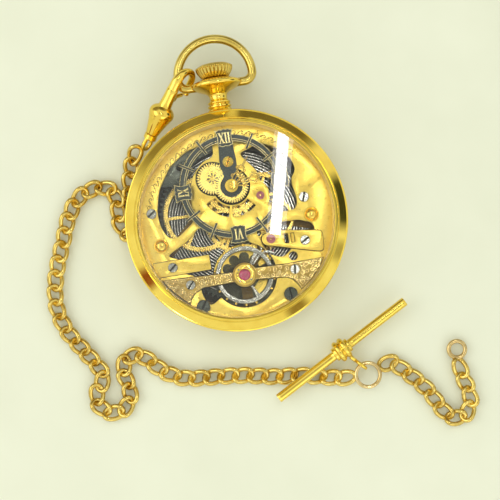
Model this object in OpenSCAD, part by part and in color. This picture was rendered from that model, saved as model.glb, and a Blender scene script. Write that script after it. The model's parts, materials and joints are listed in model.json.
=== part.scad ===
// Open-face skeleton pocket watch, lying on its back, with its watch chain.
// The origin is the centre of the back cover's flat; +Z leaves the crystal and +Y points to the pendant.

/* [Case] */
// Outer radius of the case and the bezel
case_r = 25; // [25:0.1:25.3]
// Radius of the flat on the back cover
back_flat_r = 11.5; // [11:0.1:12]
// Radius of the opening over the dial
opening_r = 21.9; // [21.6:0.1:22]
// Height of the crystal's middle above the back
crystal_top = 13.2; // [13:0.1:13.6]

/* [Bow, pendant and crown] */
// Wire diameter of the bow
bow_wire = 2; // [1.8:0.1:2]
// Radius of the bow's round top, to the middle of the wire
bow_r = 8.5; // [8.4:0.1:8.7]
// Distance of the bow's pivots from the middle of the case
bow_y = 31.3; // [31.2:0.1:31.4]
// Radius of the crown
crown_r = 4.3; // [4.1:0.1:4.4]
// Number of flutes round the crown
crown_flutes = 26; // [20:1:30]

/* [Movement] */
// Radius of the two plates
plate_r = 22.4; // [22.2:0.1:22.5]
// Thickness of each toothed wheel
wheel_t = 0.25; // [0.2:0.05:0.25]
// Outer radius of the balance rim
balance_r = 6.5; // [6.2:0.1:6.6]
// Number of turns of the mainspring
mainspring_turns = 9; // [6:1:10]

/* [Dial] */
// Inner radius of the chapter ring
chapter_in = 10.1; // [10:0.1:10.3]
// Outer radius of the chapter ring
chapter_out = 11.7; // [11.6:0.1:11.8]
// Minute that the hands show
shown_minute = 13; // [11:1:14]

/* [Chain] */
// Width of the chain
chain_w = 3.8; // [3:0.1:3.9]
// Height of the chain where it lies flat
chain_h = 2.2; // [1.8:0.1:2.3]
// Diameter of the T-bar
t_bar_d = 2.1; // [1.8:0.1:2.2]

/* [Hidden] */
$fn = 64;

gold = "goldenrod";
pale_gold = "khaki";
steel = "silver";
dark_steel = "darkslategray";
ruby = "mediumvioletred";

// Heights and radii of the case parts
band_top = 10;
bezel_top = 12.7;
axis_z = 6.8;
band_inner_r = 22.6;
shell_in = 21;
shell_out = 24.4;
shell_rise = 4.2;
cover_r = 20.9;
cover_lip = 3;
hinge = [-21.7, 2.3];

// Heights of the movement's layers
drum_z = [2.3, 5.2];
back_plate_z = [5.4, 6];
great_z = 6.15;
layer_2 = 6.6;
layer_3 = 7.05;
layer_4 = 7.5;
main_plate_z = [8.2, 9.2];
bridge_z = [9.2, 10];
dial_z = 10.1;
marker_z = 10.4;
hour_hand_z = 10.65;
minute_hand_z = 10.95;

// Places of the arbors
dial_at = [0, 7.7];
inter_at = [-7.8, 2.65];
third_at = [6.1, 4.8];
fourth_at = [8.5, -0.7];
escape_at = [7, -5.3];
balance_at = [0, -12.4];
minute_at = [-3.98, 10];
crown_wheel_at = [0, 19.4];
click_at = [13.8, -14.4];

// Tooth numbers and modules of each pair
great_teeth = 84;
inter_pinion_teeth = 12;
inter_teeth = 100;
centre_pinion_teeth = 10;
centre_teeth = 80;
third_teeth = 75;
fourth_teeth = 80;
train_pinion_teeth = 10;
escape_pinion_teeth = 8;
escape_teeth = 15;
cannon_teeth = 12;
minute_teeth = 36;
hour_teeth = 40;
drum_teeth = 93;
crown_wheel_teeth = 9;

pivot_r = 0.15;
pivot_hole_r = 0.2;
arbor_r = 0.3;

// Angles of the hands, clockwise from twelve
minute_angle = shown_minute * 6;
hour_angle = 30 + shown_minute / 2;

// The chain's route, from the clip's eye to the jump ring
long_route = [[-19.8, 19.6, 3.6], [-21.6, 18.4, 2.4], [-22.2, 15.8, 1.4], [-23.1, 13, 1.2],
    [-23.3, 10.4, 1.2], [-22.9, 7.6, 1.2], [-22.5, 5, 1.2], [-22.5, 2.8, 1.2], [-23.3, 1.1, 1.2],
    [-24.8, 0.8, 1.2], [-26.2, 2, 1.2], [-26.8, 4.6, 1.2], [-26.5, 8.2, 1.2], [-26.8, 10.6, 1.2],
    [-28.3, 12.2, 1.2], [-30.4, 12.7, 1.2], [-33.2, 12.2, 1.2], [-35.7, 10.6, 1.2], [-37.6, 7.9, 1.2],
    [-39, 5, 1.2], [-40, 2, 1.2], [-42, -3, 1.2], [-43.4, -8, 1.2], [-43.8, -13.4, 1.2],
    [-42.4, -18.7, 1.2], [-39.2, -23.8, 1.2], [-36.4, -28, 1.2], [-35.4, -31, 1.2], [-37.6, -34, 1.2],
    [-37.4, -37.2, 1.2], [-34.6, -39.2, 1.2], [-31.4, -38.4, 1.2], [-29.8, -35.4, 1.2],
    [-30.4, -32, 1.2], [-30.8, -29, 1.2], [-28.6, -26.6, 1.2], [-25.4, -27.6, 1.2], [-22.2, -31, 1.2],
    [-17.4, -33.6, 1.2], [-11.2, -34.3, 1.2], [-3.8, -35, 1.2], [3.3, -36.4, 1.2], [9.6, -37, 1.2],
    [15.6, -38.4, 1.2], [21.1, -39.3, 1.5]];
// The short arm's route, from the jump ring to its end ring
short_route = [[28.1, -37.6, 1.5], [30.4, -36.9, 1.2], [32.8, -39.2, 1.2], [35.6, -42, 1.2],
    [38, -45, 1.2], [39.8, -48.6, 1.2], [42, -51.6, 1.2], [45, -51.8, 1.2], [47, -49.4, 1.2],
    [47, -45.8, 1.2], [46, -42.4, 1.2], [45.8, -39, 1.2]];
jump_ring_at = [24.6, -39.1, 2.1];
end_ring_at = [45.8, -36.4, 1.2];
t_bar_at = [19.4, -32.5, 3.5];
t_bar_angle = 29;
t_bar_length = 36.4;
t_loop_at = [23.3, -36.5, 2.1];

// The clip runs from its eye's end towards the hook, tilted up from the floor
clip_at = [-16.2, 22.7, 5.1];
clip_tilt = 68;
clip_turn = 53.7;
clip_roll = -25;
hook_r = 2.8;
hook_z = 13.4;
hook_wire_r = 0.8;

// Outlines of the plates' windows, in the plane of the plate
left_window = [[-16, 9.6], [-13.2, 14], [-9, 17], [-3, 18.4], [-3, 15], [-5.6, 14.2], [-8.2, 11.6],
    [-9.3, 8.5], [-9.6, 4.4], [-9.4, 1.2], [-13.6, -2], [-15.6, -1.9], [-17.1, 0.8], [-17.4, 4.2],
    [-16.6, 7.8]];
low_window = [[-16.6, -5.9], [-15.1, -4.9], [-11.9, -3.3], [-8.3, -0.1], [-6.4, -1.6], [-3.4, -3.6],
    [1, -4.4], [6, -8], [5, -16], [-5, -16], [-8.6, -18.4], [-10, -15.8], [-10.4, -11.2], [-13.6, -10.2],
    [-13.8, -6.8]];
right_window = [[2.6, 14.8], [5, 15.6], [7.2, 16.6], [10.6, 15.4], [14, 12.3], [14.9, 9.4], [13.2, 7.3],
    [14.2, 2.8], [13.6, 0.5], [9.8, 0.4], [8.1, 2.6], [8.2, 6.6], [6.4, 8], [6.2, 10.4], [4.4, 12.6]];
web_window = [[8.6, -1.8], [13.8, -1.9], [16.6, -3], [17.2, -4.6], [12, -3.9], [6.4, -2.9]];
escape_window = [[3.8, -2.9], [9.6, -3.2], [11.6, -4.2], [11.4, -8.2], [9, -9.8], [6, -8.6]];

function unit(v) = v / norm(v);

// An outline with its corners blended by short curves of about the given size
function blended(points, size) = [for (i = [0:len(points) - 1])
    let(before = points[(i + len(points) - 1) % len(points)], here = points[i],
        after = points[(i + 1) % len(points)],
        reach_1 = min(size, norm(before - here) * 0.45), reach_2 = min(size, norm(after - here) * 0.45),
        start = here + unit(before - here) * reach_1, end = here + unit(after - here) * reach_2)
    for (s = [0, 0.25, 0.5, 0.75, 1]) start * pow(1 - s, 2) + here * 2 * s * (1 - s) + end * s * s];

// A toothed outline: straight-sided slim teeth, with the first tooth at the phase angle
function toothed(teeth, module_mm, phase, addendum = 0.7, dedendum = 1.1) = [for (i = [0:teeth - 1])
    for (side = [[-0.3, -1], [-0.12, 1], [0.12, 1], [0.3, -1]])
        let(angle = phase + (i + side[0]) * 360 / teeth,
            radius = module_mm * (teeth / 2 + (side[1] > 0 ? addendum : -dedendum)))
        radius * [cos(angle), sin(angle)]];

// Pointed, raked teeth of the escape wheel
function raked(teeth, root, tip, phase) = [for (i = [0:teeth - 1])
    for (p = [[-0.35, root], [0, tip], [0.04, tip], [0.12, root]])
        let(angle = phase + (i + p[0]) * 360 / teeth) p[1] * [cos(angle), sin(angle)]];

function direction(from, to) = atan2(to[1] - from[1], to[0] - from[0]);

// Phase that puts wheel B in mesh with wheel A, whose first tooth is at phase_a
function meshed(at_a, at_b, teeth_a, teeth_b, phase_a) =
    let(line = direction(at_a, at_b))
    line + 180 + 180 / teeth_b - (phase_a - line) * teeth_a / teeth_b;

inter_pinion_phase = meshed([0, 0], inter_at, great_teeth, inter_pinion_teeth, 0);
centre_pinion_phase = meshed(inter_at, dial_at, inter_teeth, centre_pinion_teeth, 0);
third_pinion_phase = meshed(dial_at, third_at, centre_teeth, train_pinion_teeth, 0);
fourth_pinion_phase = meshed(third_at, fourth_at, third_teeth, train_pinion_teeth, 0);
escape_pinion_phase = meshed(fourth_at, escape_at, fourth_teeth, escape_pinion_teeth, 0);
minute_phase = meshed(dial_at, minute_at, cannon_teeth, minute_teeth, 0);
hour_phase = meshed(minute_at, dial_at, train_pinion_teeth, hour_teeth, 0);
crown_wheel_phase = meshed([0, 0], crown_wheel_at, drum_teeth, crown_wheel_teeth, 0);

great_m = 2 * norm(inter_at) / (great_teeth + inter_pinion_teeth);
inter_m = 2 * norm(inter_at - dial_at) / (inter_teeth + centre_pinion_teeth);
centre_m = 2 * norm(third_at - dial_at) / (centre_teeth + train_pinion_teeth);
third_m = 2 * norm(fourth_at - third_at) / (third_teeth + train_pinion_teeth);
fourth_m = 2 * norm(escape_at - fourth_at) / (fourth_teeth + escape_pinion_teeth);
minute_m = 2 * norm(minute_at - dial_at) / (minute_teeth + cannon_teeth);
hour_m = 2 * norm(minute_at - dial_at) / (hour_teeth + train_pinion_teeth);
drum_m = 2 * norm(crown_wheel_at) / (drum_teeth + crown_wheel_teeth);

// The fork rocks about a pivot on the line from the escape wheel to the balance
pallet_line = direction(escape_at, balance_at);
pallet_at = escape_at + 3.3 * [cos(pallet_line), sin(pallet_line)];
pallet_spread = 48;
escape_r = 2.3;
stone_r = 2.62;

module tube(outer_r, inner_r, z0, z1) {
    translate([0, 0, z0]) difference() {
        cylinder(r = outer_r, h = z1 - z0);
        translate([0, 0, -1]) cylinder(r = inner_r, h = z1 - z0 + 2);
    }
}

module rod(radius, z0, z1) {
    translate([0, 0, z0]) cylinder(r = radius, h = z1 - z0);
}

module plate_piece(outline, z) {
    translate([0, 0, z[0]]) linear_extrude(z[1] - z[0]) polygon(outline);
}

// A flat bar with round ends between two places
module link_bar(from, to, width, z) {
    for (p = [from, to]) translate(p) rod(width / 2, z[0], z[1]);
    straight_bar(from, to, width, z);
}

module straight_bar(from, to, width, z) {
    translate([from[0], from[1], z[0]]) rotate([0, 0, direction(from, to)])
        translate([0, -width / 2, 0]) cube([norm(to - from), width, z[1] - z[0]]);
}

module toothed_disc(teeth, module_mm, phase, z, thick) {
    translate([0, 0, z]) linear_extrude(thick) polygon(toothed(teeth, module_mm, phase));
}

// An arc of points about the origin, from one angle to another
function arc(radius, from, to, steps) = [for (i = [0:steps])
    let(a = from + (to - from) * i / steps) radius * [cos(a), sin(a)]];

// Outline of the gap between two spokes of half-width w, about +X
function gap(in_r, out_r, w, half) = let(in_a = half - asin(w / in_r), out_a = half - asin(w / out_r))
    concat(arc(out_r, -out_a, out_a, 10), arc(in_r, in_a, -in_a, 5));

// A toothed wheel with a rim, spokes and a hub
module spoked_wheel(teeth, module_mm, phase, z, spokes, rim, hub_r) {
    rim_r = module_mm * (teeth / 2 - 1.1) - rim;
    difference() {
        toothed_disc(teeth, module_mm, phase, z, wheel_t);
        for (i = [0:spokes - 1]) rotate([0, 0, (i + 0.5) * 360 / spokes + phase]) translate([0, 0, z - 1])
            linear_extrude(2) polygon(gap(hub_r, rim_r, rim * 0.4, 180 / spokes));
    }
}

// An arbor with thinner pivots at both ends
module arbor(low, high, radius) {
    rod(radius, low + 0.15, high - 0.15);
    rod(pivot_r, low - 0.45, high + 0.45);
}

// A cheese-head screw, its head's underside at z
module screw(at, radius, z, head, shank, turn) {
    translate([at[0], at[1], z]) difference() {
        union() {
            cylinder(r = radius, h = head);
            translate([0, 0, -shank]) cylinder(r = radius * 0.5, h = shank + 0.1);
        }
        rotate([0, 0, turn]) translate([-2 * radius, -0.13, head - 0.2]) cube([4 * radius, 0.26, 1]);
    }
}

module screw_hole(at, radius, z0, z1) {
    translate(at) rod(radius * 0.5, z0, z1);
}

module ring(ring_r, wire_r) {
    rotate_extrude() translate([ring_r, 0]) circle(r = wire_r, $fn = 32);
}

module along_y() {
    translate([0, 0, axis_z]) rotate([-90, 0, 0]) children();
}

// A flat-lying tube swept along a route: one closed solid
module swept(route, width, height) {
    sides = 8;
    last = len(route) - 1;
    points = [for (i = [0:last])
        let(along = unit(route[min(i + 1, last)] - route[max(i - 1, 0)]),
            side = unit(cross(along, [0, 0, 1])), up = cross(side, along))
        for (k = [0:sides - 1]) let(a = (k + 0.5) * 360 / sides)
            route[i] + side * width / 2 * cos(a) + up * height / 2 * sin(a)];
    walls = [for (i = [0:last - 1]) for (k = [0:sides - 1])
        [i * sides + k, i * sides + (k + 1) % sides, (i + 1) * sides + (k + 1) % sides, (i + 1) * sides + k]];
    caps = [[for (k = [sides - 1:-1:0]) k], [for (k = [0:sides - 1]) last * sides + k]];
    polyhedron(points = points, faces = concat(walls, caps), convexity = 20);
}

// The back's outer curve, from the flat out to the widest part of the shell
function back_curve(lift, from_r, to_r) = [for (i = [0:8])
    let(r = from_r + (to_r - from_r) * i / 8, t = (r - back_flat_r) / (shell_out - back_flat_r))
    [r, lift + t * t * shell_rise]];

module on_hinge(x) {
    translate([x, hinge[0], hinge[1]]) rotate([0, 90, 0]) children();
}

module case_band() color(gold) difference() {
    union() {
        rotate_extrude() polygon(concat(back_curve(0, shell_in, shell_out), [[case_r - 0.1, 5.6],
            [case_r, 6.6], [case_r, 8.5], [case_r - 0.2, 9.6], [case_r - 0.5, band_top],
            [band_inner_r, band_top], [band_inner_r, 4.3], [shell_in, 3.4]]));
        tube(band_inner_r + 0.1, 21.6, 5, 5.4);
        for (x = [-3.1, 1.2]) on_hinge(x) cylinder(r = 0.6, h = 1.9);
    }
    along_y() rod(2.3, 22.2, 27);
    translate([-1.2, -22.5, 1]) cube([2.4, 1.8, 2.1]);
    on_hinge(-4) cylinder(r = 0.3, h = 8);
}

module pendant() color(gold) difference() {
    along_y() rotate_extrude() polygon([[1.3, 23], [2.3, 23], [2.3, 25.2], [2.6, 25.3], [2.7, 25.6],
        [2.2, 25.8], [2.6, 26], [2.7, 26.4], [2.2, 26.7], [2.55, 26.9], [2.6, 27.3], [2.1, 27.7],
        [2, 28.3], [2.1, 28.9], [2.7, 29.5], [4.2, 30.1], [5.4, 30.8], [5.9, 31], [5.9, 31.6], [5.4, 32],
        [4.6, 32.4], [3.4, 32.7], [1.3, 32.6]]);
    translate([-8, bow_y, axis_z]) rotate([0, 90, 0]) cylinder(r = bow_wire / 2 + 0.05, h = 3.4);
    translate([4.6, bow_y, axis_z]) rotate([0, 90, 0]) cylinder(r = bow_wire / 2 + 0.05, h = 3.4);
}

module bezel() color(gold) rotate_extrude() polygon([[band_inner_r, band_top], [case_r - 0.5, band_top],
    [case_r - 0.1, 10.3], [case_r, 10.7], [case_r - 0.3, 11], [22.9, 12.3], [22.8, 12.5], [22.4, 12.55],
    [22.3, bezel_top], [opening_r, bezel_top], [opening_r, 12.2], [22.3, 12.2], [22.3, 11.4],
    [opening_r, 11.4], [opening_r, 11.1], [band_inner_r, 10.9]]);

module crystal() color("white", 0.3) rotate_extrude() polygon([[0, 12.2], [8, 12.1], [15, 11.85],
    [opening_r, 11.4], [22.3, 11.4], [22.3, 12.2], [opening_r, 12.2], [15, 12.85], [8, 13.1],
    [0, crystal_top]]);

module back_cover() color(gold) difference() {
    union() {
        rotate_extrude() polygon(concat([[0, 0]], back_curve(0, back_flat_r, cover_r), [[cover_r, cover_lip],
            [cover_r - 0.5, cover_lip]], back_curve(0.75, cover_r - 0.6, back_flat_r), [[0, 0.75]]));
        on_hinge(-1.1) cylinder(r = 0.6, h = 2.2);
        translate([-1.1, hinge[0], 1.9]) cube([2.2, 1.2, 0.6]);
    }
    on_hinge(-4) cylinder(r = 0.34, h = 8);
}

module back_hinge_pin() color(gold) on_hinge(-3.1) cylinder(r = 0.3, h = 6.2);

// The bow: a half ring whose ends turn inwards to its two pivots
module bow() color(gold) translate([0, bow_y, axis_z]) {
    turn_r = 2.1;
    translate([0, turn_r, 0]) rotate_extrude(angle = 180) translate([bow_r, 0])
        circle(r = bow_wire / 2, $fn = 32);
    for (side = [0, 1]) mirror([side, 0, 0]) {
        translate([bow_r - turn_r, turn_r, 0]) rotate([0, 0, -90]) rotate_extrude(angle = 90)
            translate([turn_r, 0]) circle(r = bow_wire / 2, $fn = 32);
        translate([4.75, 0, 0]) rotate([0, 90, 0]) cylinder(r = bow_wire / 2, h = bow_r - turn_r - 4.75);
    }
}

module crown() color(gold) along_y() difference() {
    rotate_extrude() polygon([[0.6, 32.8], [2.9, 32.8], [3.5, 33.2], [crown_r, 35], [crown_r, 35.4],
        [3.7, 35.9], [2.4, 36.2], [0, 36.3], [0, 34], [0.6, 34]]);
    for (i = [0:crown_flutes - 1]) rotate([0, 0, i * 360 / crown_flutes]) translate([crown_r + 0.1, 0, 32])
        rod(0.28, 0, 4);
}

module winding_stem() color(steel) along_y() {
    rod(0.6, 20.3, 34);
    rod(0.35, 17.4, 20.3);
}

module stem_sleeve() color(steel) along_y() tube(1.25, 0.65, 24, 31.4);

module winding_pinion() color(steel) along_y() difference() {
    translate([0, 0, 17.6]) linear_extrude(0.5) polygon(toothed(8, 0.27, 0));
    rod(0.35, 17, 20);
}

module crown_wheel() color(steel) translate(crown_wheel_at) difference() {
    union() {
        toothed_disc(crown_wheel_teeth, drum_m, crown_wheel_phase, 4.6, 0.6);
        tube(1.75, 1.35, 5.1, 5.45);
        for (i = [0:11]) rotate([0, 0, i * 30]) translate([1.35, -0.12, 5.4]) cube([0.4, 0.24, 0.1]);
    }
    rod(0.42, 4, 6);
}

module click() color(steel) translate(click_at) {
    tube(0.6, 0.34, 4.6, 5.1);
    rotate([0, 0, 172]) translate([0.45, -0.2, 4.6]) cube([1.9, 0.4, 0.5]);
}

module barrel_drum() color(pale_gold) difference() {
    union() {
        rod(17.1, drum_z[0], drum_z[1]);
        toothed_disc(drum_teeth, drum_m, 0, 4.6, 0.45);
    }
    rod(16.5, drum_z[0] + 0.4, drum_z[1] + 1);
    rod(0.95, 0, 9);
}

// A flat spiral strip from one radius to another, as a closed outline
function spiral(turns, in_r, out_r, thick, steps = 22) = let(count = turns * steps)
    concat([for (i = [0:count]) let(a = 360 * i / steps, r = in_r + (out_r - in_r) * i / count)
        r * [cos(a), sin(a)]],
        [for (i = [count:-1:0]) let(a = 360 * i / steps, r = in_r + (out_r - in_r) * i / count + thick)
        r * [cos(a), sin(a)]]);

module mainspring() color("slategray")
    plate_piece(spiral(mainspring_turns, 2.5, 16.2, 0.25), [3, 5]);

module barrel_arbor() color(steel) {
    rod(2.4, 2.8, 5.1);
    rod(0.9, 2, 6.15);
    rod(0.5, 6.1, 6.45);
}

module great_wheel() color(pale_gold) difference() {
    spoked_wheel(great_teeth, great_m, 0, great_z, 6, 0.8, 1.6);
    rod(0.5, 5, 8);
}

// Bars of the lower plate: from, to, width
back_bars = [[[-19.6, -8.3], inter_at, 2.2], [inter_at, dial_at, 2.4], [dial_at, [3.9, 19.8], 2.4],
    [dial_at, [0, 0], 2.5], [dial_at, third_at, 2.2], [third_at, fourth_at, 2.1], [fourth_at, [19.8, -4], 2.2],
    [fourth_at, escape_at, 2], [escape_at, pallet_at, 1.8], [pallet_at, balance_at, 1.6],
    [balance_at, [0, -19.8], 2.4]];

// The lower plate: a ring with bars that carry the lower pivots
module back_plate() color(pale_gold) difference() {
    union() {
        tube(plate_r, 19.3, back_plate_z[0], back_plate_z[1]);
        for (b = back_bars) straight_bar(b[0], b[1], b[2], back_plate_z);
        for (p = [dial_at, inter_at, third_at, fourth_at, escape_at, pallet_at, balance_at, [0, 0]])
            translate(p) rod(1.45, back_plate_z[0], back_plate_z[1]);
        translate([-2.9, 18.2, 3.9]) cube([5.8, 3.1, 0.4]);
        for (x = [-2.9, 2.3]) translate([x, 19.4, 3.9]) cube([0.6, 1.9, 2]);
        translate(crown_wheel_at) rod(0.38, 4, 5.2);
        translate(click_at) rod(0.3, 4.5, 5.5);
    }
    difference() {
        translate(crown_wheel_at) rod(2.1, 4.4, 8);
        translate(crown_wheel_at) rod(0.38, 3, 5.25);
    }
    rod(0.95, 4.5, 7);
    for (p = [dial_at, inter_at, third_at, fourth_at, escape_at, pallet_at, balance_at])
        translate(p) rod(pivot_hole_r, 5, 7);
}

module window(outline, size) {
    translate([0, 0, 8]) linear_extrude(1.4) polygon(blended(outline, size));
}

// Places of the pillars and of the screws in the plate
pillar_places = [for (a = [40, 140, 207, 335]) 20.7 * [cos(a), sin(a)]];
plate_screw_places = [[-18.7, 4.2], [15.7, 3]];
dome_places = [[-17.6, -3.3], [16.8, -1.2]];
dog_places = [[-10.2, -18.1], [9.6, -18.1]];
bridge_screw_places = [[-12.3, -12.9], [11.3, -12.8]];
bar_screw_places = [[-15.7, -8.5], [14.5, -6.7]];

module main_plate() color(gold) difference() {
    union() {
        rod(plate_r, main_plate_z[0], main_plate_z[1]);
        translate(minute_at) rod(0.25, 9, 10);
    }
    window(left_window, 1.2);
    window(low_window, 1.4);
    window(right_window, 1.4);
    window(web_window, 0.6);
    window(escape_window, 1);
    translate(balance_at) rod(balance_r + 0.8, 8, 10);
    translate([11.4, -9.8]) rod(1, 8, 10);
    // The curved slots that show the centre wheel's teeth
    translate(dial_at) for (a = [207, 264]) rotate([0, 0, a]) translate([0, 0, 8])
        rotate_extrude(angle = 50) translate([4.5, 0]) square([2.4, 1.4]);
    for (p = [inter_at, third_at, fourth_at]) translate(p) rod(pivot_hole_r, 8, 10);
    translate(dial_at) rod(0.42, 8, 10);
    translate(third_at) rod(0.9, 8.9, 10);
    for (p = plate_screw_places) screw_hole(p, 1.15, 8, 10);
    for (p = dog_places) screw_hole(p, 1.5, 8, 10);
    for (p = bridge_screw_places) screw_hole(p, 1.1, 8, 10);
    for (p = bar_screw_places) screw_hole(p, 1.1, 8, 10);
}

module setting_cover() color(dark_steel) difference() {
    plate_piece(blended([[-16.4, 10], [-13, 15.2], [-8, 18.4], [-2.4, 19.2], [-2.4, 16.6], [-6.4, 15],
        [-9.6, 12.4], [-11.4, 9.4]], 1.2), [7.6, 8.2]);
    translate([-11, 13.6]) rod(0.7, 7, 9);
}

module pillars() color(gold) for (p = pillar_places) translate(p) rod(1.1, back_plate_z[1], main_plate_z[0]);

module plate_screws() color(steel) for (p = plate_screw_places) screw(p, 1.15, main_plate_z[1], 0.35, 0.8, 35);

module plate_domes() color(gold) for (p = dome_places) translate([p[0], p[1], main_plate_z[1]]) intersection() {
    translate([0, 0, -1.1]) sphere(r = 1.95);
    cylinder(r = 1.6, h = 1);
}

module dog_screws() color(dark_steel) for (p = dog_places) screw(p, 1.5, main_plate_z[1], 0.7, 0.8, 60);

module balance_bridge() color(gold) difference() {
    union() {
        plate_piece(concat([[-12, -11.2], [-2.4, -11.5], [2.4, -11.2], [9, -11.4]],
            arc(21.2, -31.6, -55, 6), [[11.6, -16.2], [10.6, -14.9], [9.2, -14.2], [2.3, -13.8],
            [-2.4, -13.7], [-9.5, -13.9], [-11.6, -14.8], [-12.8, -16.2]], arc(21.4, -127, -149, 6)),
            bridge_z);
        translate(balance_at) rod(2.75, bridge_z[0], bridge_z[1]);
    }
    translate(balance_at) rod(pivot_hole_r, 9, 9.9);
    translate(balance_at) rod(2.3, 9.8, 11);
    for (p = bridge_screw_places) screw_hole(p, 1.1, 9, 11);
}

module balance_chaton() color(gold) translate(balance_at) tube(2.3, 1.3, 9.8, 10.4);

module balance_jewel() color(ruby) translate([balance_at[0], balance_at[1], 9.8]) intersection() {
    cylinder(r = 1.3, h = 1);
    translate([0, 0, -1]) sphere(r = 2);
}

module bridge_screws() color(steel) for (p = bridge_screw_places) screw(p, 1.1, bridge_z[1], 0.35, 1.2, 50);

module escape_cock() color(gold) difference() {
    plate_piece(blended([[4.9, -4.2], [8, -3.5], [17.6, -4.9], [18.6, -5.2], [18.4, -9.4], [17.4, -9.6],
        [7.4, -7], [5, -6.4]], 1.2), bridge_z);
    translate(escape_at) rod(pivot_hole_r, 9, 11);
    translate(escape_at) rod(1, 9.7, 11);
    for (x = [10, 11.4]) translate([x, -6.8, 9]) cube([0.9, 2.2, 2]);
    screw_hole(bar_screw_places[1], 1.1, 9, 11);
}

// Pink pivot jewels in the plate and in the cock
module train_jewels() color(ruby) {
    translate(third_at) tube(0.9, pivot_hole_r, 8.9, 9.25);
    translate(escape_at) tube(1, pivot_hole_r, 9.7, 10.05);
}

module left_bar() color(gold) difference() {
    translate([-19.9, -10.3, bridge_z[0]]) rotate([0, 0, 1]) cube([12.7, 3.3, 0.7]);
    screw_hole(bar_screw_places[0], 1.1, 9, 11);
}

module bar_screws() color(steel) {
    screw(bar_screw_places[0], 1.1, 9.9, 0.35, 1.2, 40);
    screw(bar_screw_places[1], 1.1, bridge_z[1], 0.35, 1.2, 30);
}

module intermediate_wheel() color(pale_gold) translate(inter_at) {
    spoked_wheel(inter_teeth, inter_m, 0, layer_2, 6, 0.8, 1.4);
    toothed_disc(inter_pinion_teeth, great_m, inter_pinion_phase, great_z - 0.1, 0.45);
    arbor(back_plate_z[1], main_plate_z[0], arbor_r);
}

module centre_wheel() color(pale_gold) translate(dial_at) {
    spoked_wheel(centre_teeth, centre_m, 0, layer_3, 5, 0.8, 1.3);
    toothed_disc(centre_pinion_teeth, inter_m, centre_pinion_phase, layer_2 - 0.05, 0.5);
    rod(arbor_r, 6.1, 11.1);
    rod(pivot_r, 5.5, 6.2);
}

module cannon_pinion() color(steel) translate(dial_at) difference() {
    union() {
        toothed_disc(cannon_teeth, minute_m, 0, 9.3, 0.4);
        rod(0.6, 9.3, minute_hand_z);
    }
    rod(arbor_r, 9, 12);
}

module third_wheel() color(pale_gold) translate(third_at) {
    spoked_wheel(third_teeth, third_m, 0, layer_4, 5, 0.7, 1.1);
    toothed_disc(train_pinion_teeth, centre_m, third_pinion_phase, layer_3 - 0.05, 0.45);
    arbor(back_plate_z[1], main_plate_z[0], arbor_r);
}

module fourth_wheel() color(pale_gold) translate(fourth_at) {
    spoked_wheel(fourth_teeth, fourth_m, 0, layer_3, 5, 0.5, 0.9);
    toothed_disc(train_pinion_teeth, third_m, fourth_pinion_phase, layer_4 - 0.05, 0.35);
    arbor(back_plate_z[1], main_plate_z[0], arbor_r - 0.05);
}

module escape_wheel() color(pale_gold) translate(escape_at) {
    difference() {
        translate([0, 0, layer_2]) linear_extrude(0.2)
            polygon(raked(escape_teeth, 1.75, escape_r, pallet_line + pallet_spread + 180 / escape_teeth));
        rod(1.4, 6, 7);
    }
    for (i = [0:3]) rotate([0, 0, i * 90]) translate([0, -0.15, layer_2]) cube([1.5, 0.3, 0.2]);
    toothed_disc(escape_pinion_teeth, fourth_m, escape_pinion_phase, layer_3 - 0.05, 0.35);
    rod(0.22, 6.1, 9);
    rod(pivot_r, 5.5, 9.85);
}

// The fork, drawn with its line to the balance along +X, then turned into place
module on_pallet_line() {
    translate(escape_at) rotate([0, 0, pallet_line]) children();
}

module pallet_fork() color(steel) difference() {
    fork_blank();
    stones();
}

module fork_blank() on_pallet_line() {
    reach = stone_r + 0.25;
    for (side = [-1, 1]) link_bar([3.3, 0], reach * [cos(pallet_spread), side * sin(pallet_spread)], 0.42,
        [layer_2, layer_2 + 0.2]);
    link_bar([3.3, 0], [7.8, 0], 0.42, [layer_2, layer_2 + 0.2]);
    for (side = [-1, 1]) link_bar([7.8, 0], [8.5, side * 0.45], 0.25, [layer_2, layer_2 + 0.2]);
    translate([3.3, 0]) rod(0.25, 6.1, 7.2);
    translate([3.3, 0]) rod(pivot_r, 5.5, 7.4);
}

module stones() on_pallet_line() for (side = [-1, 1])
    rotate([0, 0, side * pallet_spread]) translate([2.36, -0.13, layer_2 - 0.05]) cube([0.5, 0.26, 0.3]);

module pallet_stones() color(ruby) stones();

module balance_wheel() color("lightgray") translate(balance_at) {
    tube(balance_r, balance_r - 0.9, 7.6, 8.6);
    tube(0.9, 0.3, 7.9, 8.3);
    for (i = [0:2]) rotate([0, 0, 120 * i - 65]) translate([0.6, -0.35, 7.95]) cube([5.2, 0.7, 0.25]);
}

module balance_staff() color(steel) translate(balance_at) {
    rod(0.3, 6.1, 9.15);
    rod(pivot_r, 5.5, 9.7);
    rod(1, 7, 7.25);
    rod(0.9, 8.7, 9.05);
}

module hairspring() color("slategray") translate(balance_at)
    plate_piece(spiral(7, 0.9, 4.4, 0.1), [8.75, 9]);

module minute_wheel() color(gold) translate(minute_at) difference() {
    union() {
        toothed_disc(minute_teeth, minute_m, minute_phase, 9.35, 0.3);
        toothed_disc(train_pinion_teeth, hour_m, 0, 9.65, 0.35);
    }
    rod(0.3, 9, 11);
}

module hour_wheel() color(gold) translate(dial_at) difference() {
    union() {
        toothed_disc(hour_teeth, hour_m, hour_phase, 9.75, 0.2);
        rod(0.95, 9.75, hour_hand_z);
    }
    rod(0.65, 9, 12);
}

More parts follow.
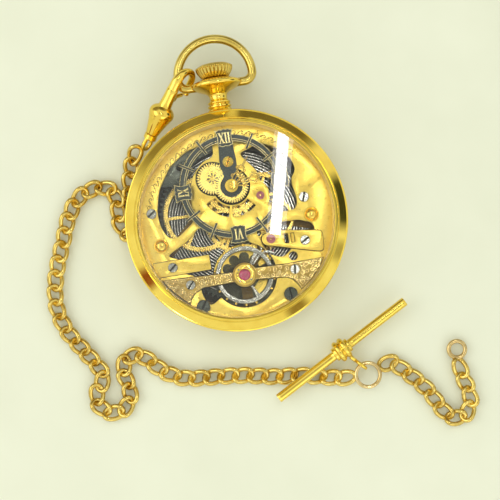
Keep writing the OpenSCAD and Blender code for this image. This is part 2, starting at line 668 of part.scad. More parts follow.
// A pierced hand: a ring boss, an open oval frame and a tapering tip along +X
module pierced_hand(length, boss_r, hole_r, z, thick) {
    difference() {
        union() {
            rod(boss_r, z, z + thick);
            translate([length * 0.36, 0]) rod(length * 0.15, z, z + thick);
            translate([0, 0, z]) linear_extrude(thick)
                polygon([[0, -0.3], [length * 0.5, -0.35], [length * 0.6, -0.75], [length * 0.7, -0.25],
                    [length, -0.08], [length, 0.08], [length * 0.7, 0.25], [length * 0.6, 0.75],
                    [length * 0.5, 0.35], [0, 0.3]]);
        }
        rod(hole_r, z - 1, z + 1);
        translate([length * 0.36, 0]) rod(length * 0.08, z - 1, z + 1);
    }
}

module hour_hand() color(gold) translate(dial_at) rotate([0, 0, 90 - hour_angle])
    pierced_hand(7.6, 1.4, 0.62, hour_hand_z, 0.15);

module minute_hand() color(gold) translate(dial_at) rotate([0, 0, 90 - minute_angle]) {
    pierced_hand(9.5, 1.5, arbor_r, minute_hand_z, 0.15);
    tube(1.3, arbor_r, minute_hand_z + 0.1, 11.25);
}

module dial_arm() color(dark_steel) difference() {
    union() {
        plate_piece([[-1.6, 19], [1.6, 19], [1.9, 14.5], [1.9, 12.4], [1.3, 10.6], [1.5, 9.3], [-1.5, 9.3],
            [-1.4, 12]], [dial_z, marker_z]);
        translate(dial_at) rod(2.5, dial_z, marker_z);
        translate([0, 13.2]) rod(1.25, main_plate_z[1], dial_z + 0.1);
    }
    translate(dial_at) rod(1, 9, 12);
    screw_hole([0, 13.2], 1.2, 9, 12);
}

module dial_arm_screw() color(gold) screw([0, 13.2], 1.2, marker_z, 0.2, 1.1, 65);

module chapter_ring() color(dark_steel) difference() {
    translate(dial_at) tube(chapter_out, chapter_in, dial_z, marker_z);
    plate_piece([[-1.6, 19], [1.6, 19], [1.9, 14.5], [-1.6, 14.5]], [9, 11]);
    translate([-1.6, 18.9, 9]) cube([3.2, 1, 2]);
}

// A shield plate for the numeral at a given hour, and a baton for the others
module marker(hour) translate(dial_at) rotate([0, 0, -30 * hour]) {
    middle = (chapter_in + chapter_out) / 2;
    if (hour % 3 == 0)
        translate([0, middle, 0]) plate_piece([[-1.9, 2], [-1.1, 1.8], [-0.5, 2.1], [0.5, 2.1], [1.1, 1.8],
            [1.9, 2], [1.6, 0.9], [1.6, -1.7], [0.6, -2], [0, -1.8], [-0.6, -2], [-1.6, -1.7],
            [-1.6, 0.9]], [marker_z, 10.55]);
    else
        translate([-0.3, 9, marker_z]) cube([0.6, 3.75, 0.15]);
}

module hour_markers() color(dark_steel) for (hour = [1:12]) marker(hour);

module on_clip() {
    translate(clip_at) rotate([0, clip_tilt, clip_turn]) rotate([0, 0, clip_roll]) children();
}

// The clip's turned body and its hook; the gate closes the hook's loop
module clip_body() color(gold) on_clip() difference() {
    union() {
        rotate_extrude() polygon([[0, 0], [1.45, 0], [1.6, 0.3], [2.7, 4.2], [2.95, 5.2], [2.8, 6.1],
            [2.1, 6.9], [1.5, 7.3], [1.3, 12], [0, 12]]);
        rod(hook_wire_r, 11.8, hook_z);
        translate([hook_r, 0, hook_z]) rotate([90, 0, 0]) rotate_extrude(angle = 180)
            translate([hook_r, 0]) circle(r = hook_wire_r, $fn = 32);
        translate([2 * hook_r, 0]) rod(hook_wire_r, 10.3, hook_z);
    }
    rod(0.55, -1, 2.2);
    translate([1.2, -0.4, 8.6]) cube([2, 0.8, 1.8]);
    translate([1.3, 3, 9.5]) rotate([90, 0, 0]) cylinder(r = 0.75, h = 6);
}

module clip_gate() color(gold) on_clip() {
    translate([1.3, 0.9, 9.5]) rotate([90, 0, 0]) cylinder(r = 0.7, h = 1.8);
    translate([1.3, 0, 9.5]) rotate([0, 75, 0]) translate([0, 0, 0.4]) cylinder(r = 0.5, h = 2.9);
}

module clip_eye() color(gold) on_clip() {
    rod(0.5, -1.2, 2);
    rod(1.5, -1.4, -0.1);
    translate([0, 0, -2.7]) rotate([90, 0, 0]) ring(1.4, 0.45);
}

module chain_long() color(gold) swept(long_route, chain_w, chain_h);

module chain_short() color(gold) swept(short_route, chain_w, chain_h);

module jump_ring() color(gold) translate(jump_ring_at) ring(2.75, 0.45);

module t_bar() color(gold) translate(t_bar_at) rotate([0, 0, t_bar_angle]) rotate([0, 90, 0])
    rotate_extrude() polygon([[0, -t_bar_length / 2], [t_bar_d / 2 - 0.1, -t_bar_length / 2],
        [t_bar_d / 2, 0.1 - t_bar_length / 2], [t_bar_d / 2, -2.2], [1.6, -2.1], [1.7, -1.4], [2.4, -1.2],
        [2.6, -0.7], [2.4, -0.2], [2.1, 0], [2.4, 0.2], [2.6, 0.7], [2.4, 1.2], [1.7, 1.4], [1.6, 2.1],
        [t_bar_d / 2, 2.2], [t_bar_d / 2, t_bar_length / 2 - 0.1], [t_bar_d / 2 - 0.1, t_bar_length / 2],
        [0, t_bar_length / 2]]);

// A small upright loop with a short neck that reaches the bar's collar
module t_bar_loop() color(gold) translate(t_loop_at) {
    rotate([0, 0, direction([0, 0], [t_bar_at[0] - t_loop_at[0], t_bar_at[1] - t_loop_at[1]])]) {
        rotate([90, 0, 0]) ring(1.45, 0.4);
        translate([1.4, 0, 0]) rotate([0, 75, 0]) cylinder(r = 0.45, h = 1.5);
    }
}

module end_ring() color(gold) translate(end_ring_at) ring(1.9, 0.5);

case_band();
pendant();
bezel();
crystal();
back_cover();
back_hinge_pin();
bow();
crown();
winding_stem();
stem_sleeve();
winding_pinion();
crown_wheel();
click();
barrel_drum();
mainspring();
barrel_arbor();
great_wheel();
back_plate();
main_plate();
setting_cover();
pillars();
plate_screws();
plate_domes();
dog_screws();
balance_bridge();
balance_chaton();
balance_jewel();
bridge_screws();
escape_cock();
train_jewels();
left_bar();
bar_screws();
intermediate_wheel();
centre_wheel();
cannon_pinion();
third_wheel();
fourth_wheel();
escape_wheel();
pallet_fork();
pallet_stones();
balance_wheel();
balance_staff();
hairspring();
minute_wheel();
hour_wheel();
hour_hand();
minute_hand();
dial_arm();
dial_arm_screw();
chapter_ring();
hour_markers();
clip_body();
clip_gate();
clip_eye();
chain_long();
jump_ring();
t_bar();
t_bar_loop();
chain_short();
end_ring();
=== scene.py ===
"""An open-face skeleton pocket watch on its back, with its chain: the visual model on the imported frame."""
import json
import math
import random

import bmesh
import bpy
from mathutils import Matrix, Vector


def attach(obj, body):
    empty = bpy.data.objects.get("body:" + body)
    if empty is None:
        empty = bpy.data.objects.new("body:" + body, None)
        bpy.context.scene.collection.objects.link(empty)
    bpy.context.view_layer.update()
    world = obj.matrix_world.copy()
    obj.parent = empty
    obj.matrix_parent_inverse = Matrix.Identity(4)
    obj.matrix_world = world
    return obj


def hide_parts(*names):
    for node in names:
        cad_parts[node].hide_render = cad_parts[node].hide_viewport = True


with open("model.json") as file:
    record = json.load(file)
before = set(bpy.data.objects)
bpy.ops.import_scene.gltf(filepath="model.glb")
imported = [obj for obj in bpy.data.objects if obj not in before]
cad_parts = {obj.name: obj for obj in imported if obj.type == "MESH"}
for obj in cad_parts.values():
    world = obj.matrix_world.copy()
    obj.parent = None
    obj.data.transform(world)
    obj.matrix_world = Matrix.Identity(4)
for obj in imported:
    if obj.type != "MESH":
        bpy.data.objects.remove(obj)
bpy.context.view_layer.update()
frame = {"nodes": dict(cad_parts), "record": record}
MM = 0.001
BODY_OF = {node: body for body, nodes in frame["record"]["behaviour"]["bodies"].items() for node in nodes}
SLOT_OF = {part["node"]: part["material_slot"] for part in frame["record"]["subparts"]}


# ---------------------------------------------------------------- camera

def aim(obj, at, up):
    """Turns a camera or light to look at a point, in metres, with its top towards up."""
    back = (obj.location - Vector(at)).normalized()
    side = Vector(up).cross(back).normalized()
    obj.rotation_euler = Matrix((side, back.cross(side), back)).transposed().to_euler()


camera = bpy.data.objects.new("camera", bpy.data.cameras.new("camera"))
bpy.context.scene.collection.objects.link(camera)
bpy.context.scene.camera = camera
LOOK_AT = (0.0020, -0.0070, 0.0075)
camera.location = (LOOK_AT[0] - 0.004, LOOK_AT[1] - 0.012, 0.3075)
camera.data.lens = 95.7
camera.data.clip_start = 0.01
aim(camera, LOOK_AT, (0.148, 0.989, 0))


# ---------------------------------------------------------------- mesh helpers, in millimetres

class Shape:
    """Vertices and faces of one mesh, gathered from several simple forms."""

    def __init__(self):
        self.verts, self.faces, self.slots = [], [], []
        self.slot = 0

    def add(self, verts, faces, matrix=None):
        start = len(self.verts)
        self.verts += [tuple(matrix @ Vector(v)) if matrix else tuple(v) for v in verts]
        self.faces += [[start + i for i in face] for face in faces]
        self.slots += [self.slot] * len(faces)
        return self

    def grid(self, rows, closed_rows, closed_cols, matrix=None, caps=True):
        """Joins rows of points; closed_cols wraps round each row."""
        n, count, verts, faces = len(rows[0]), len(rows), [p for row in rows for p in row], []
        for i in range(count if closed_rows else count - 1):
            j = (i + 1) % count
            for k in range(n if closed_cols else n - 1):
                m = (k + 1) % n
                faces.append([i * n + k, i * n + m, j * n + m, j * n + k])
        if caps and closed_cols and not closed_rows:
            faces += [list(range(n))[::-1], [(count - 1) * n + k for k in range(n)]]
        return self.add(verts, faces, matrix)

    def lathe(self, profile, matrix=None, steps=128, closed=False, shape=None):
        """Turns (radius, height) points about Z; shape(angle, radius, height) may change a radius."""
        rows = []
        for r, z in profile:
            row = []
            for k in range(steps):
                a = 2 * math.pi * k / steps
                q = shape(a, r, z) if shape else r
                row.append((q * math.cos(a), q * math.sin(a), z))
            rows.append(row)
        return self.grid(rows, closed, True, matrix)

    def tube(self, points, radius, sides=12, closed=False, matrix=None, flat=1.0):
        """A round tube along points; radius is one number or one for each point."""
        points = [Vector(p) for p in points]
        count = len(points)
        radii = [radius] * count if isinstance(radius, (int, float)) else list(radius)
        along = []
        for i in range(count):
            if closed:
                along.append((points[(i + 1) % count] - points[i - 1]).normalized())
            else:
                along.append((points[min(i + 1, count - 1)] - points[max(i - 1, 0)]).normalized())
        side = along[0].orthogonal().normalized()
        if abs(along[0].z) < 0.9:
            side = along[0].cross(Vector((0, 0, 1))).normalized()
        frames = []
        for t in along:
            side = (side - t * side.dot(t)).normalized()
            frames.append((side, t.cross(side)))
        if closed:
            first, last = frames[0][0], frames[-1][0]
            turn = math.atan2(first.dot(along[-1].cross(last)), first.dot(last))
            for i in range(count):
                a = turn * i / count
                s, u = frames[i]
                frames[i] = (s * math.cos(a) + u * math.sin(a), u * math.cos(a) - s * math.sin(a))
        rows = []
        for p, r, (s, u) in zip(points, radii, frames):
            ring = [2 * math.pi * k / sides for k in range(sides)]
            rows.append([p + s * (r * math.cos(a)) + u * (r * flat * math.sin(a)) for a in ring])
        return self.grid(rows, closed, True, matrix)

    def prism(self, outline, z0, z1, edge=0.0, matrix=None):
        """A flat plate of an outline, given anticlockwise, with its upper edge broken by edge."""
        rows = [[(x, y, z0) for x, y in outline], [(x, y, z1 - edge) for x, y in outline]]
        if edge:
            rows.append([(x, y, z1) for x, y in inset(outline, edge)])
        return self.grid(rows, False, True, matrix)

    def object(self, name, materials, body, replaces=(), slot=None, angle=35):
        """A named piece that rides on a body, and stands for the CAD nodes it replaces."""
        mesh = bpy.data.meshes.new(name)
        mesh.from_pydata([(x * MM, y * MM, z * MM) for x, y, z in self.verts], [], self.faces)
        obj = bpy.data.objects.new(name, mesh)
        bpy.context.scene.collection.objects.link(obj)
        for material in materials if isinstance(materials, (list, tuple)) else [materials]:
            mesh.materials.append(material)
        for polygon, index in zip(mesh.polygons, self.slots):
            polygon.material_index = index
        finish_mesh(mesh, angle)
        if replaces:
            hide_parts(*replaces)
        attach(obj, body)
        return obj


def finish_mesh(mesh, angle):
    """Outward normals, smooth faces, and sharp edges above an angle."""
    bm = bmesh.new()
    bm.from_mesh(mesh)
    bmesh.ops.remove_doubles(bm, verts=bm.verts, dist=2e-7)
    bmesh.ops.recalc_face_normals(bm, faces=bm.faces)
    for face in bm.faces:
        face.smooth = True
    for edge in bm.edges:
        edge.smooth = len(edge.link_faces) != 2 or edge.calc_face_angle(0) < math.radians(angle)
    bm.to_mesh(mesh)
    bm.free()


def inset(outline, distance):
    """An anticlockwise outline moved inwards."""
    out, n = [], len(outline)
    for i in range(n):
        p, q, r = (Vector(outline[j % n]) for j in (i - 1, i, i + 1))
        a, b = (q - p).normalized(), (r - q).normalized()
        normal = Vector((-a.y - b.y, a.x + b.x))
        if normal.length < 1e-6:
            normal = Vector((-a.y, a.x))
        normal.normalize()
        push = distance / max(0.4, normal.dot(Vector((-a.y, a.x))))
        out.append(tuple(q + normal * push))
    return out


def smooth_route(points, per_span=8, closed=False):
    """Catmull-Rom points through a route."""
    points, out, n = [Vector(p) for p in points], [], len(points)
    for i in range(n if closed else n - 1):
        if closed:
            a, b, c, d = (points[(i + k) % n] for k in (-1, 0, 1, 2))
        else:
            a, b, c, d = points[max(i - 1, 0)], points[i], points[i + 1], points[min(i + 2, n - 1)]
        for s in range(per_span):
            t = s / per_span
            out.append(0.5 * (2 * b + (c - a) * t + (2 * a - 5 * b + 4 * c - d) * t * t
                              + (3 * b - a - 3 * c + d) * t * t * t))
    return out if closed else out + [points[-1]]


def placed_at(at, z=0):
    """Moves a form to a centre in the plan, at a height."""
    return Matrix.Translation((at[0], at[1], z))


def turned(angle, at=(0, 0), z=0):
    """Turns a form by degrees about Z, then moves it to a centre."""
    return placed_at(at, z) @ Matrix.Rotation(math.radians(angle), 4, "Z")


def circle(radius, steps, at=(0, 0)):
    angles = [2 * math.pi * k / steps for k in range(steps)]
    return [(at[0] + radius * math.cos(a), at[1] + radius * math.sin(a)) for a in angles]


# Centres and heights in the movement, from the CAD
DIAL = (0, 7.7)
BALANCE = (0, -12.4)
ESCAPE_ARBOR = (7, -5.3)
MINUTE_WHEEL = (-3.98, 10.0)
DIAL_ARM_SCREW = (0, 13.2)
BRIDGE_SCREWS = ((-12.3, -12.9), (11.3, -12.8))
PLATE_TOP = 9.2
BRIDGE_TOP = 10.0
PENDANT_HEIGHT = 6.8


# ---------------------------------------------------------------- materials

class Nodes:
    """A small builder for node materials, in object coordinates measured in metres."""

    def __init__(self, name):
        self.material = bpy.data.materials.new(name)
        self.material.use_nodes = True
        self.tree = self.material.node_tree
        self.shader = self.tree.nodes["Principled BSDF"]
        self.place = self.tree.nodes.new("ShaderNodeTexCoord").outputs["Object"]

    def link(self, a, b):
        self.tree.links.new(a, b)

    def set(self, **values):
        for key, value in values.items():
            self.shader.inputs[key.replace("_", " ")].default_value = value

    def noise(self, scale, detail=3.0, rough=0.55, stretch=None):
        node = self.tree.nodes.new("ShaderNodeTexNoise")
        node.inputs["Scale"].default_value = scale
        node.inputs["Detail"].default_value = detail
        node.inputs["Roughness"].default_value = rough
        source = self.place
        if stretch:
            mapping = self.tree.nodes.new("ShaderNodeMapping")
            mapping.inputs["Scale"].default_value = stretch
            self.link(source, mapping.inputs["Vector"])
            source = mapping.outputs["Vector"]
        self.link(source, node.inputs["Vector"])
        return node.outputs["Fac"]

    def voronoi(self, scale):
        node = self.tree.nodes.new("ShaderNodeTexVoronoi")
        node.inputs["Scale"].default_value = scale
        self.link(self.place, node.inputs["Vector"])
        return node.outputs["Distance"]

    def between(self, source, low, high, from_low=0.3, from_high=0.7):
        node = self.tree.nodes.new("ShaderNodeMapRange")
        limits = (("From Min", from_low), ("From Max", from_high), ("To Min", low), ("To Max", high))
        for key, value in limits:
            node.inputs[key].default_value = value
        self.link(source, node.inputs["Value"])
        return node.outputs["Result"]

    def mixed(self, source, first, second, low=0.3, high=0.7):
        ramp = self.tree.nodes.new("ShaderNodeValToRGB")
        ramp.color_ramp.elements[0].position, ramp.color_ramp.elements[0].color = low, (*first, 1)
        ramp.color_ramp.elements[1].position, ramp.color_ramp.elements[1].color = high, (*second, 1)
        self.link(source, ramp.inputs["Fac"])
        return ramp.outputs["Color"]

    def bump(self, source, strength, distance, onto=None):
        node = self.tree.nodes.new("ShaderNodeBump")
        node.inputs["Strength"].default_value = strength
        node.inputs["Distance"].default_value = distance
        self.link(source, node.inputs["Height"])
        if onto:
            self.link(onto, node.inputs["Normal"])
        return node.outputs["Normal"]


def metal(name, light, dark, rough, grain=0.0, grain_scale=5000.0, stretch=None, waves=0.0, metallic=1.0):
    """A metal with slow colour changes, uneven polish, and fine grain or brushing."""
    n = Nodes(name)
    n.set(Metallic=metallic)
    n.link(n.mixed(n.noise(160), dark, light, 0.35, 0.6), n.shader.inputs["Base Color"])
    n.link(n.between(n.noise(900, 4), rough * 0.75, rough * 1.3), n.shader.inputs["Roughness"])
    normal = n.bump(n.noise(grain_scale, 2, 0.5, stretch), grain, 0.00002) if grain else None
    if waves:
        normal = n.bump(n.noise(260, 1), waves, 0.0002, normal)
    if normal:
        n.link(normal, n.shader.inputs["Normal"])
    return n.material


GOLD = metal("polished_gold", (0.93, 0.68, 0.13), (0.84, 0.58, 0.09), 0.13, 0.05, 3000, None, 0.05)
BEZEL_GOLD = metal("bezel_gold", (0.95, 0.71, 0.13), (0.87, 0.61, 0.09), 0.09, 0.04, 2500)
OLIVE = metal("olive_gold", (0.74, 0.56, 0.14), (0.60, 0.43, 0.09), 0.18, 0.08, 2600, None, 0.08)
CHAIN_GOLD = metal("chain_gold", (0.78, 0.58, 0.16), (0.62, 0.43, 0.10), 0.2, 0.1, 3000, None, 0.1)
JUMP_GOLD = metal("pink_gold", (0.80, 0.62, 0.30), (0.66, 0.48, 0.20), 0.2, 0.1, 3000, None, 0.1)
BRASS = metal("brass", (0.88, 0.66, 0.18), (0.74, 0.52, 0.11), 0.26, 0.12, 4000)
STEEL = metal("polished_steel", (0.60, 0.60, 0.52), (0.44, 0.45, 0.39), 0.2, 0.25, 1500, (1, 9, 1))
NICKEL = metal("nickel", (0.56, 0.55, 0.46), (0.40, 0.40, 0.33), 0.22, 0.1, 3000)
SPRING = metal("spring_steel", (0.62, 0.62, 0.55), (0.34, 0.34, 0.30), 0.22, 0.1, 1500)
# Painted shade: the barrel drum made near-black so that the gaps between the mainspring coils read dark
COIL_GAP_SHADE = metal("barrel_gap_shade", (0.07, 0.075, 0.055), (0.03, 0.035, 0.025), 0.4, 0.1, 1500)
# Dark steel of the setting parts and dog screws, and also the painted shade in the gaps between wheel teeth
DARK_STEEL_AND_GAP_SHADE = metal("dark_steel_and_gap_shade", (0.11, 0.12, 0.09), (0.05, 0.06, 0.045), 0.3, 0.1, 2000)
# Painted shade: a near-black laid on screw-slot floors, in rings under wheel teeth and in lines round the
# feet of raised plates
SHADE = metal("painted_shade_black", (0.02, 0.02, 0.015), (0.01, 0.01, 0.008), 0.45, 0.1, 2000)
GILDING = metal("dial_gilding", (0.80, 0.68, 0.30), (0.66, 0.54, 0.2), 0.3, 0.05, 4000)
PIT = metal("olive_shadow", (0.10, 0.10, 0.06), (0.02, 0.02, 0.012), 0.35, 0.2, 1200, (1, 6, 1))
SCROLL_GOLD = metal("scroll_gold", (0.98, 0.84, 0.40), (0.94, 0.76, 0.3), 0.22, 0.05, 4000)
REHAUT = metal("satin_gold", (0.80, 0.62, 0.22), (0.70, 0.52, 0.16), 0.35, 0.05, 3000, None, 0, 0.5)
HAND_GOLD = metal("hand_gold", (0.92, 0.72, 0.22), (0.84, 0.62, 0.16), 0.12, 0.03, 4000)
WHEEL_GOLD = metal("wheel_gold", (0.92, 0.72, 0.20), (0.86, 0.63, 0.15), 0.28)
ETCHED = metal("etched_gold", (0.30, 0.19, 0.04), (0.18, 0.10, 0.02), 0.35, 0.1, 3000)


def plate_material(name, light, dark, rough, stipple):
    """Frosted gilt: fine stippling and a soft cloudiness of colour."""
    n = Nodes(name)
    n.set(Metallic=1.0)
    n.link(n.mixed(n.noise(220, 4), dark, light, 0.3, 0.62), n.shader.inputs["Base Color"])
    n.link(n.between(n.noise(1400, 4), rough * 0.85, rough * 1.2), n.shader.inputs["Roughness"])
    fine = n.bump(n.noise(9000, 2), stipple * 0.6, 0.00002)
    n.link(n.bump(n.voronoi(5200), stipple, 0.00002, fine), n.shader.inputs["Normal"])
    return n.material


PLATE = plate_material("frosted_gilt", (0.88, 0.65, 0.125), (0.74, 0.51, 0.08), 0.3, 0.09)
ENGRAVED = plate_material("engraved_ground", (0.50, 0.34, 0.07), (0.30, 0.18, 0.03), 0.38, 0.2)
# Painted shade: the gilt of the lower plate darkened, as it lies deep under the movement
SHADED_BACK_PLATE = plate_material("back_gilt_painted_shade", (0.20, 0.13, 0.04), (0.10, 0.065, 0.02), 0.45, 0.3)


def slate_material():
    n = Nodes("slate_grey")
    n.set(Metallic=0.0, Specular_IOR_Level=0.35)
    color = n.mixed(n.noise(700, 4), (0.018, 0.028, 0.024), (0.035, 0.048, 0.04), 0.3, 0.7)
    n.link(color, n.shader.inputs["Base Color"])
    n.link(n.between(n.noise(2500, 3), 0.3, 0.45), n.shader.inputs["Roughness"])
    n.link(n.bump(n.noise(9000, 2), 0.15, 0.00002), n.shader.inputs["Normal"])
    return n.material


def jewel_material(name, light, dark):
    n = Nodes(name)
    n.set(Roughness=0.06, Coat_Weight=1.0, Coat_Roughness=0.03, IOR=1.76)
    n.link(n.mixed(n.noise(1200, 2), dark, light), n.shader.inputs["Base Color"])
    return n.material


def glass_material():
    """Clear glass that lets lamplight through to the movement."""
    n = Nodes("clear_glass")
    n.set(Roughness=0.0, Transmission_Weight=1.0, IOR=1.46, Base_Color=(1, 1, 1, 1))
    clear = n.tree.nodes.new("ShaderNodeBsdfTransparent")
    path = n.tree.nodes.new("ShaderNodeLightPath")
    mix = n.tree.nodes.new("ShaderNodeMixShader")
    n.link(path.outputs["Is Shadow Ray"], mix.inputs["Fac"])
    n.link(n.shader.outputs["BSDF"], mix.inputs[1])
    n.link(clear.outputs["BSDF"], mix.inputs[2])
    n.link(mix.outputs["Shader"], n.tree.nodes["Material Output"].inputs["Surface"])
    return n.material


SLATE = slate_material()
RUBY = jewel_material("ruby", (0.50, 0.005, 0.09), (0.24, 0.0, 0.035))
PINK = jewel_material("pink_jewel", (0.50, 0.17, 0.16), (0.30, 0.07, 0.08))
GLASS = glass_material()

FINISH_OF_SLOT = {
    "polished_gold": GOLD, "olive_gold": OLIVE, "matte_gold": PLATE, "brass": BRASS, "steel": STEEL,
    "nickel": NICKEL, "dark_steel": SLATE, "ruby": RUBY, "glass": GLASS}
FINISH_OF_NODE = {
    "train_jewels": PINK, "back_plate": SHADED_BACK_PLATE, "mainspring": SPRING, "hairspring": SPRING,
    "setting_cover": DARK_STEEL_AND_GAP_SHADE, "dog_screws": DARK_STEEL_AND_GAP_SHADE, "barrel_drum": COIL_GAP_SHADE, "balance_bridge": ENGRAVED,
    "pallet_fork": STEEL, "minute_wheel": WHEEL_GOLD, "hour_wheel": WHEEL_GOLD}
for node, obj in frame["nodes"].items():
    obj.data.materials.clear()
    obj.data.materials.append(FINISH_OF_NODE.get(node, FINISH_OF_SLOT[SLOT_OF[node]]))


def refined(node, edge, material=None):
    """A CAD node's own mesh with its edges lightly broken, so that they catch the light."""
    source = frame["nodes"][node]
    obj = bpy.data.objects.new(node + "_fine", source.data.copy())
    bpy.context.scene.collection.objects.link(obj)
    obj.data.materials.clear()
    obj.data.materials.append(material or source.data.materials[0])
    bm = bmesh.new()
    bm.from_mesh(obj.data)
    bmesh.ops.remove_doubles(bm, verts=bm.verts, dist=1e-6)
    bmesh.ops.dissolve_limit(bm, angle_limit=math.radians(1), verts=bm.verts, edges=bm.edges)
    bm.to_mesh(obj.data)
    bm.free()
    bevel = obj.modifiers.new("edge", "BEVEL")
    bevel.width, bevel.segments, bevel.limit_method = edge * MM, 2, "ANGLE"
    bevel.angle_limit, bevel.use_clamp_overlap = math.radians(40), False
    bevel.miter_outer = "MITER_ARC"
    evaluated = obj.evaluated_get(bpy.context.evaluated_depsgraph_get())
    mesh = bpy.data.meshes.new_from_object(evaluated)
    obj.modifiers.clear()
    obj.data = mesh
    finish_mesh(mesh, 30)
    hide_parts(node)
    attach(obj, BODY_OF[node])


# ---------------------------------------------------------------- chain

LONG_ROUTE = [
    (-19.8, 19.6, 3.6), (-21.6, 18.4, 2.4), (-22.2, 15.8, 1.4), (-23.1, 13, 1.2), (-23.3, 10.4, 1.2),
    (-22.9, 7.6, 1.2), (-22.5, 5, 1.2), (-22.5, 2.8, 1.2), (-23.3, 1.1, 1.2), (-24.8, 0.8, 1.2),
    (-26.2, 2, 1.2), (-26.8, 4.6, 1.2), (-26.5, 8.2, 1.2), (-26.8, 10.6, 1.2), (-28.3, 12.2, 1.2),
    (-30.4, 12.7, 1.2), (-33.2, 12.2, 1.2), (-35.7, 10.6, 1.2), (-37.6, 7.9, 1.2), (-39, 5, 1.2),
    (-40, 2, 1.2), (-42, -3, 1.2), (-43.4, -8, 1.2), (-43.8, -13.4, 1.2), (-42.4, -18.7, 1.2),
    (-39.2, -23.8, 1.2), (-36.4, -28, 1.2), (-35.4, -31, 1.2), (-37.6, -34, 1.2), (-37.4, -37.2, 1.2),
    (-34.6, -39.2, 1.2), (-31.4, -38.4, 1.2), (-29.8, -35.4, 1.2), (-30.4, -32, 1.2), (-30.8, -29, 1.2),
    (-28.6, -26.6, 1.2), (-25.4, -27.6, 1.2), (-22.2, -31, 1.2), (-17.4, -33.6, 1.2),
    (-11.2, -34.3, 1.2), (-3.8, -35, 1.2), (3.3, -36.4, 1.2), (9.6, -37, 1.2), (15.6, -38.4, 1.2),
    (21.1, -39.3, 1.5)]
SHORT_ROUTE = [
    (28.1, -37.6, 1.5), (30.4, -36.9, 1.2), (32.8, -39.2, 1.2), (35.6, -42, 1.2), (38, -45, 1.2),
    (39.8, -48.6, 1.2), (42, -51.6, 1.2), (45, -51.8, 1.2), (47, -49.4, 1.2), (47, -45.8, 1.2),
    (46, -42.4, 1.2), (45.8, -39, 1.2)]
PITCH = 3.4  # from link to link
WIRE = 0.53  # radius
LINK = (2.2, 1.42, 0.52)  # half length, half width and twist of a link, on the wire's centre line


def link_line(half_length, half_width, twist, steps=40):
    """The centre line of one curb link: an oval whose ends are twisted over and under its neighbours."""
    line = []
    for k in range(steps):
        t = 2 * math.pi * k / steps
        c, s = math.cos(t), math.sin(t)
        x = half_length * c
        y = half_width * math.copysign(abs(s) ** 0.92, s)
        line.append(Vector((x - 0.12 * y, y + 0.2 * x, twist * math.sin(2 * t))))
    return line


def chain(name, route, node):
    """Links along a smooth route, and the route itself in metres."""
    rolls = random.Random(5)
    path = smooth_route(route)
    lengths = [0.0]
    for a, b in zip(path, path[1:]):
        lengths.append(lengths[-1] + (b - a).length)
    count = max(2, round(lengths[-1] / PITCH))
    shape, line = Shape(), link_line(*LINK)

    def at(distance):
        distance = min(max(distance, 0), lengths[-1])
        i = max(j for j in range(len(lengths) - 1) if lengths[j] <= distance)
        span = lengths[i + 1] - lengths[i]
        return path[i].lerp(path[i + 1], (distance - lengths[i]) / span if span else 0)

    for i in range(count):
        middle = (i + 0.5) * lengths[-1] / count
        before, after = at(middle - PITCH * 0.45), at(middle + PITCH * 0.45)
        along = (after - before).normalized()
        side = Vector((0, 0, 1)).cross(along).normalized()
        up = along.cross(side)
        centre = at(middle) * 0.5 + (before + after) * 0.25
        roll = Matrix.Rotation(rolls.uniform(-0.1, 0.1), 4, "X")
        matrix = Matrix((along, side, up)).transposed().to_4x4() @ roll
        matrix.translation = centre
        shape.tube(line, WIRE, 10, True, matrix)
    obj = shape.object(name, CHAIN_GOLD, "case", (node,), angle=60)
    return obj, [p * MM for p in path], lengths[-1]


long_chain, long_path, long_length = chain("long_chain_links", LONG_ROUTE, "chain_long")
short_chain, short_path, short_length = chain("short_chain_links", SHORT_ROUTE, "chain_short")

# T-bar with its turned collar
bar_matrix = Matrix.Translation((19.4, -32.5, 3.5)) @ turned(29) @ Matrix.Rotation(math.radians(90), 4, "Y")
half = [(0.0, 18.2), (0.95, 18.2), (1.0, 18.18), (1.05, 18.1), (1.05, 17.4), (1.05, 3.0), (1.05, 2.2),
        (1.12, 2.12), (1.5, 2.12), (1.6, 2.05), (1.63, 1.9), (1.62, 1.5), (1.7, 1.42), (2.0, 1.38),
        (2.3, 1.28), (2.52, 1.05), (2.6, 0.75), (2.52, 0.42), (2.3, 0.2), (2.12, 0.1), (2.1, 0.0)]
t_bar = Shape().lathe([(r, -h) for r, h in half] + [(r, h) for r, h in half[-2::-1]], bar_matrix, 64)
t_bar = t_bar.object("t_bar_turned", GOLD, "bar", ("t_bar",), angle=50)

jump_ring = Shape().tube([(24.6 + x, -39.1 + y, 2.1) for x, y in circle(2.75, 56)], 0.45, 14, True)
jump_ring = jump_ring.object("jump_ring_round", JUMP_GOLD, "case", ("jump_ring",))
end_ring = Shape().tube([(45.8 + x, -36.4 + y, 1.2) for x, y in circle(1.9, 48)], 0.5, 14, True)
end_ring = end_ring.object("end_ring_round", JUMP_GOLD, "case", ("end_ring",))
loop_matrix = Matrix.Translation((23.3, -36.5, 2.1)) @ turned(math.degrees(math.atan2(4.0, -3.9)))
loop = Shape().tube([(x, 0, z) for x, z in circle(1.45, 40)], 0.4, 12, True, loop_matrix)
loop.tube([(1.4, 0, 0.0), (1.9, 0, 0.12), (2.9, 0, 0.38)], [0.5, 0.42, 0.5], 12, False, loop_matrix)
loop = loop.object("t_bar_loop_round", GOLD, "case", ("t_bar_loop",))

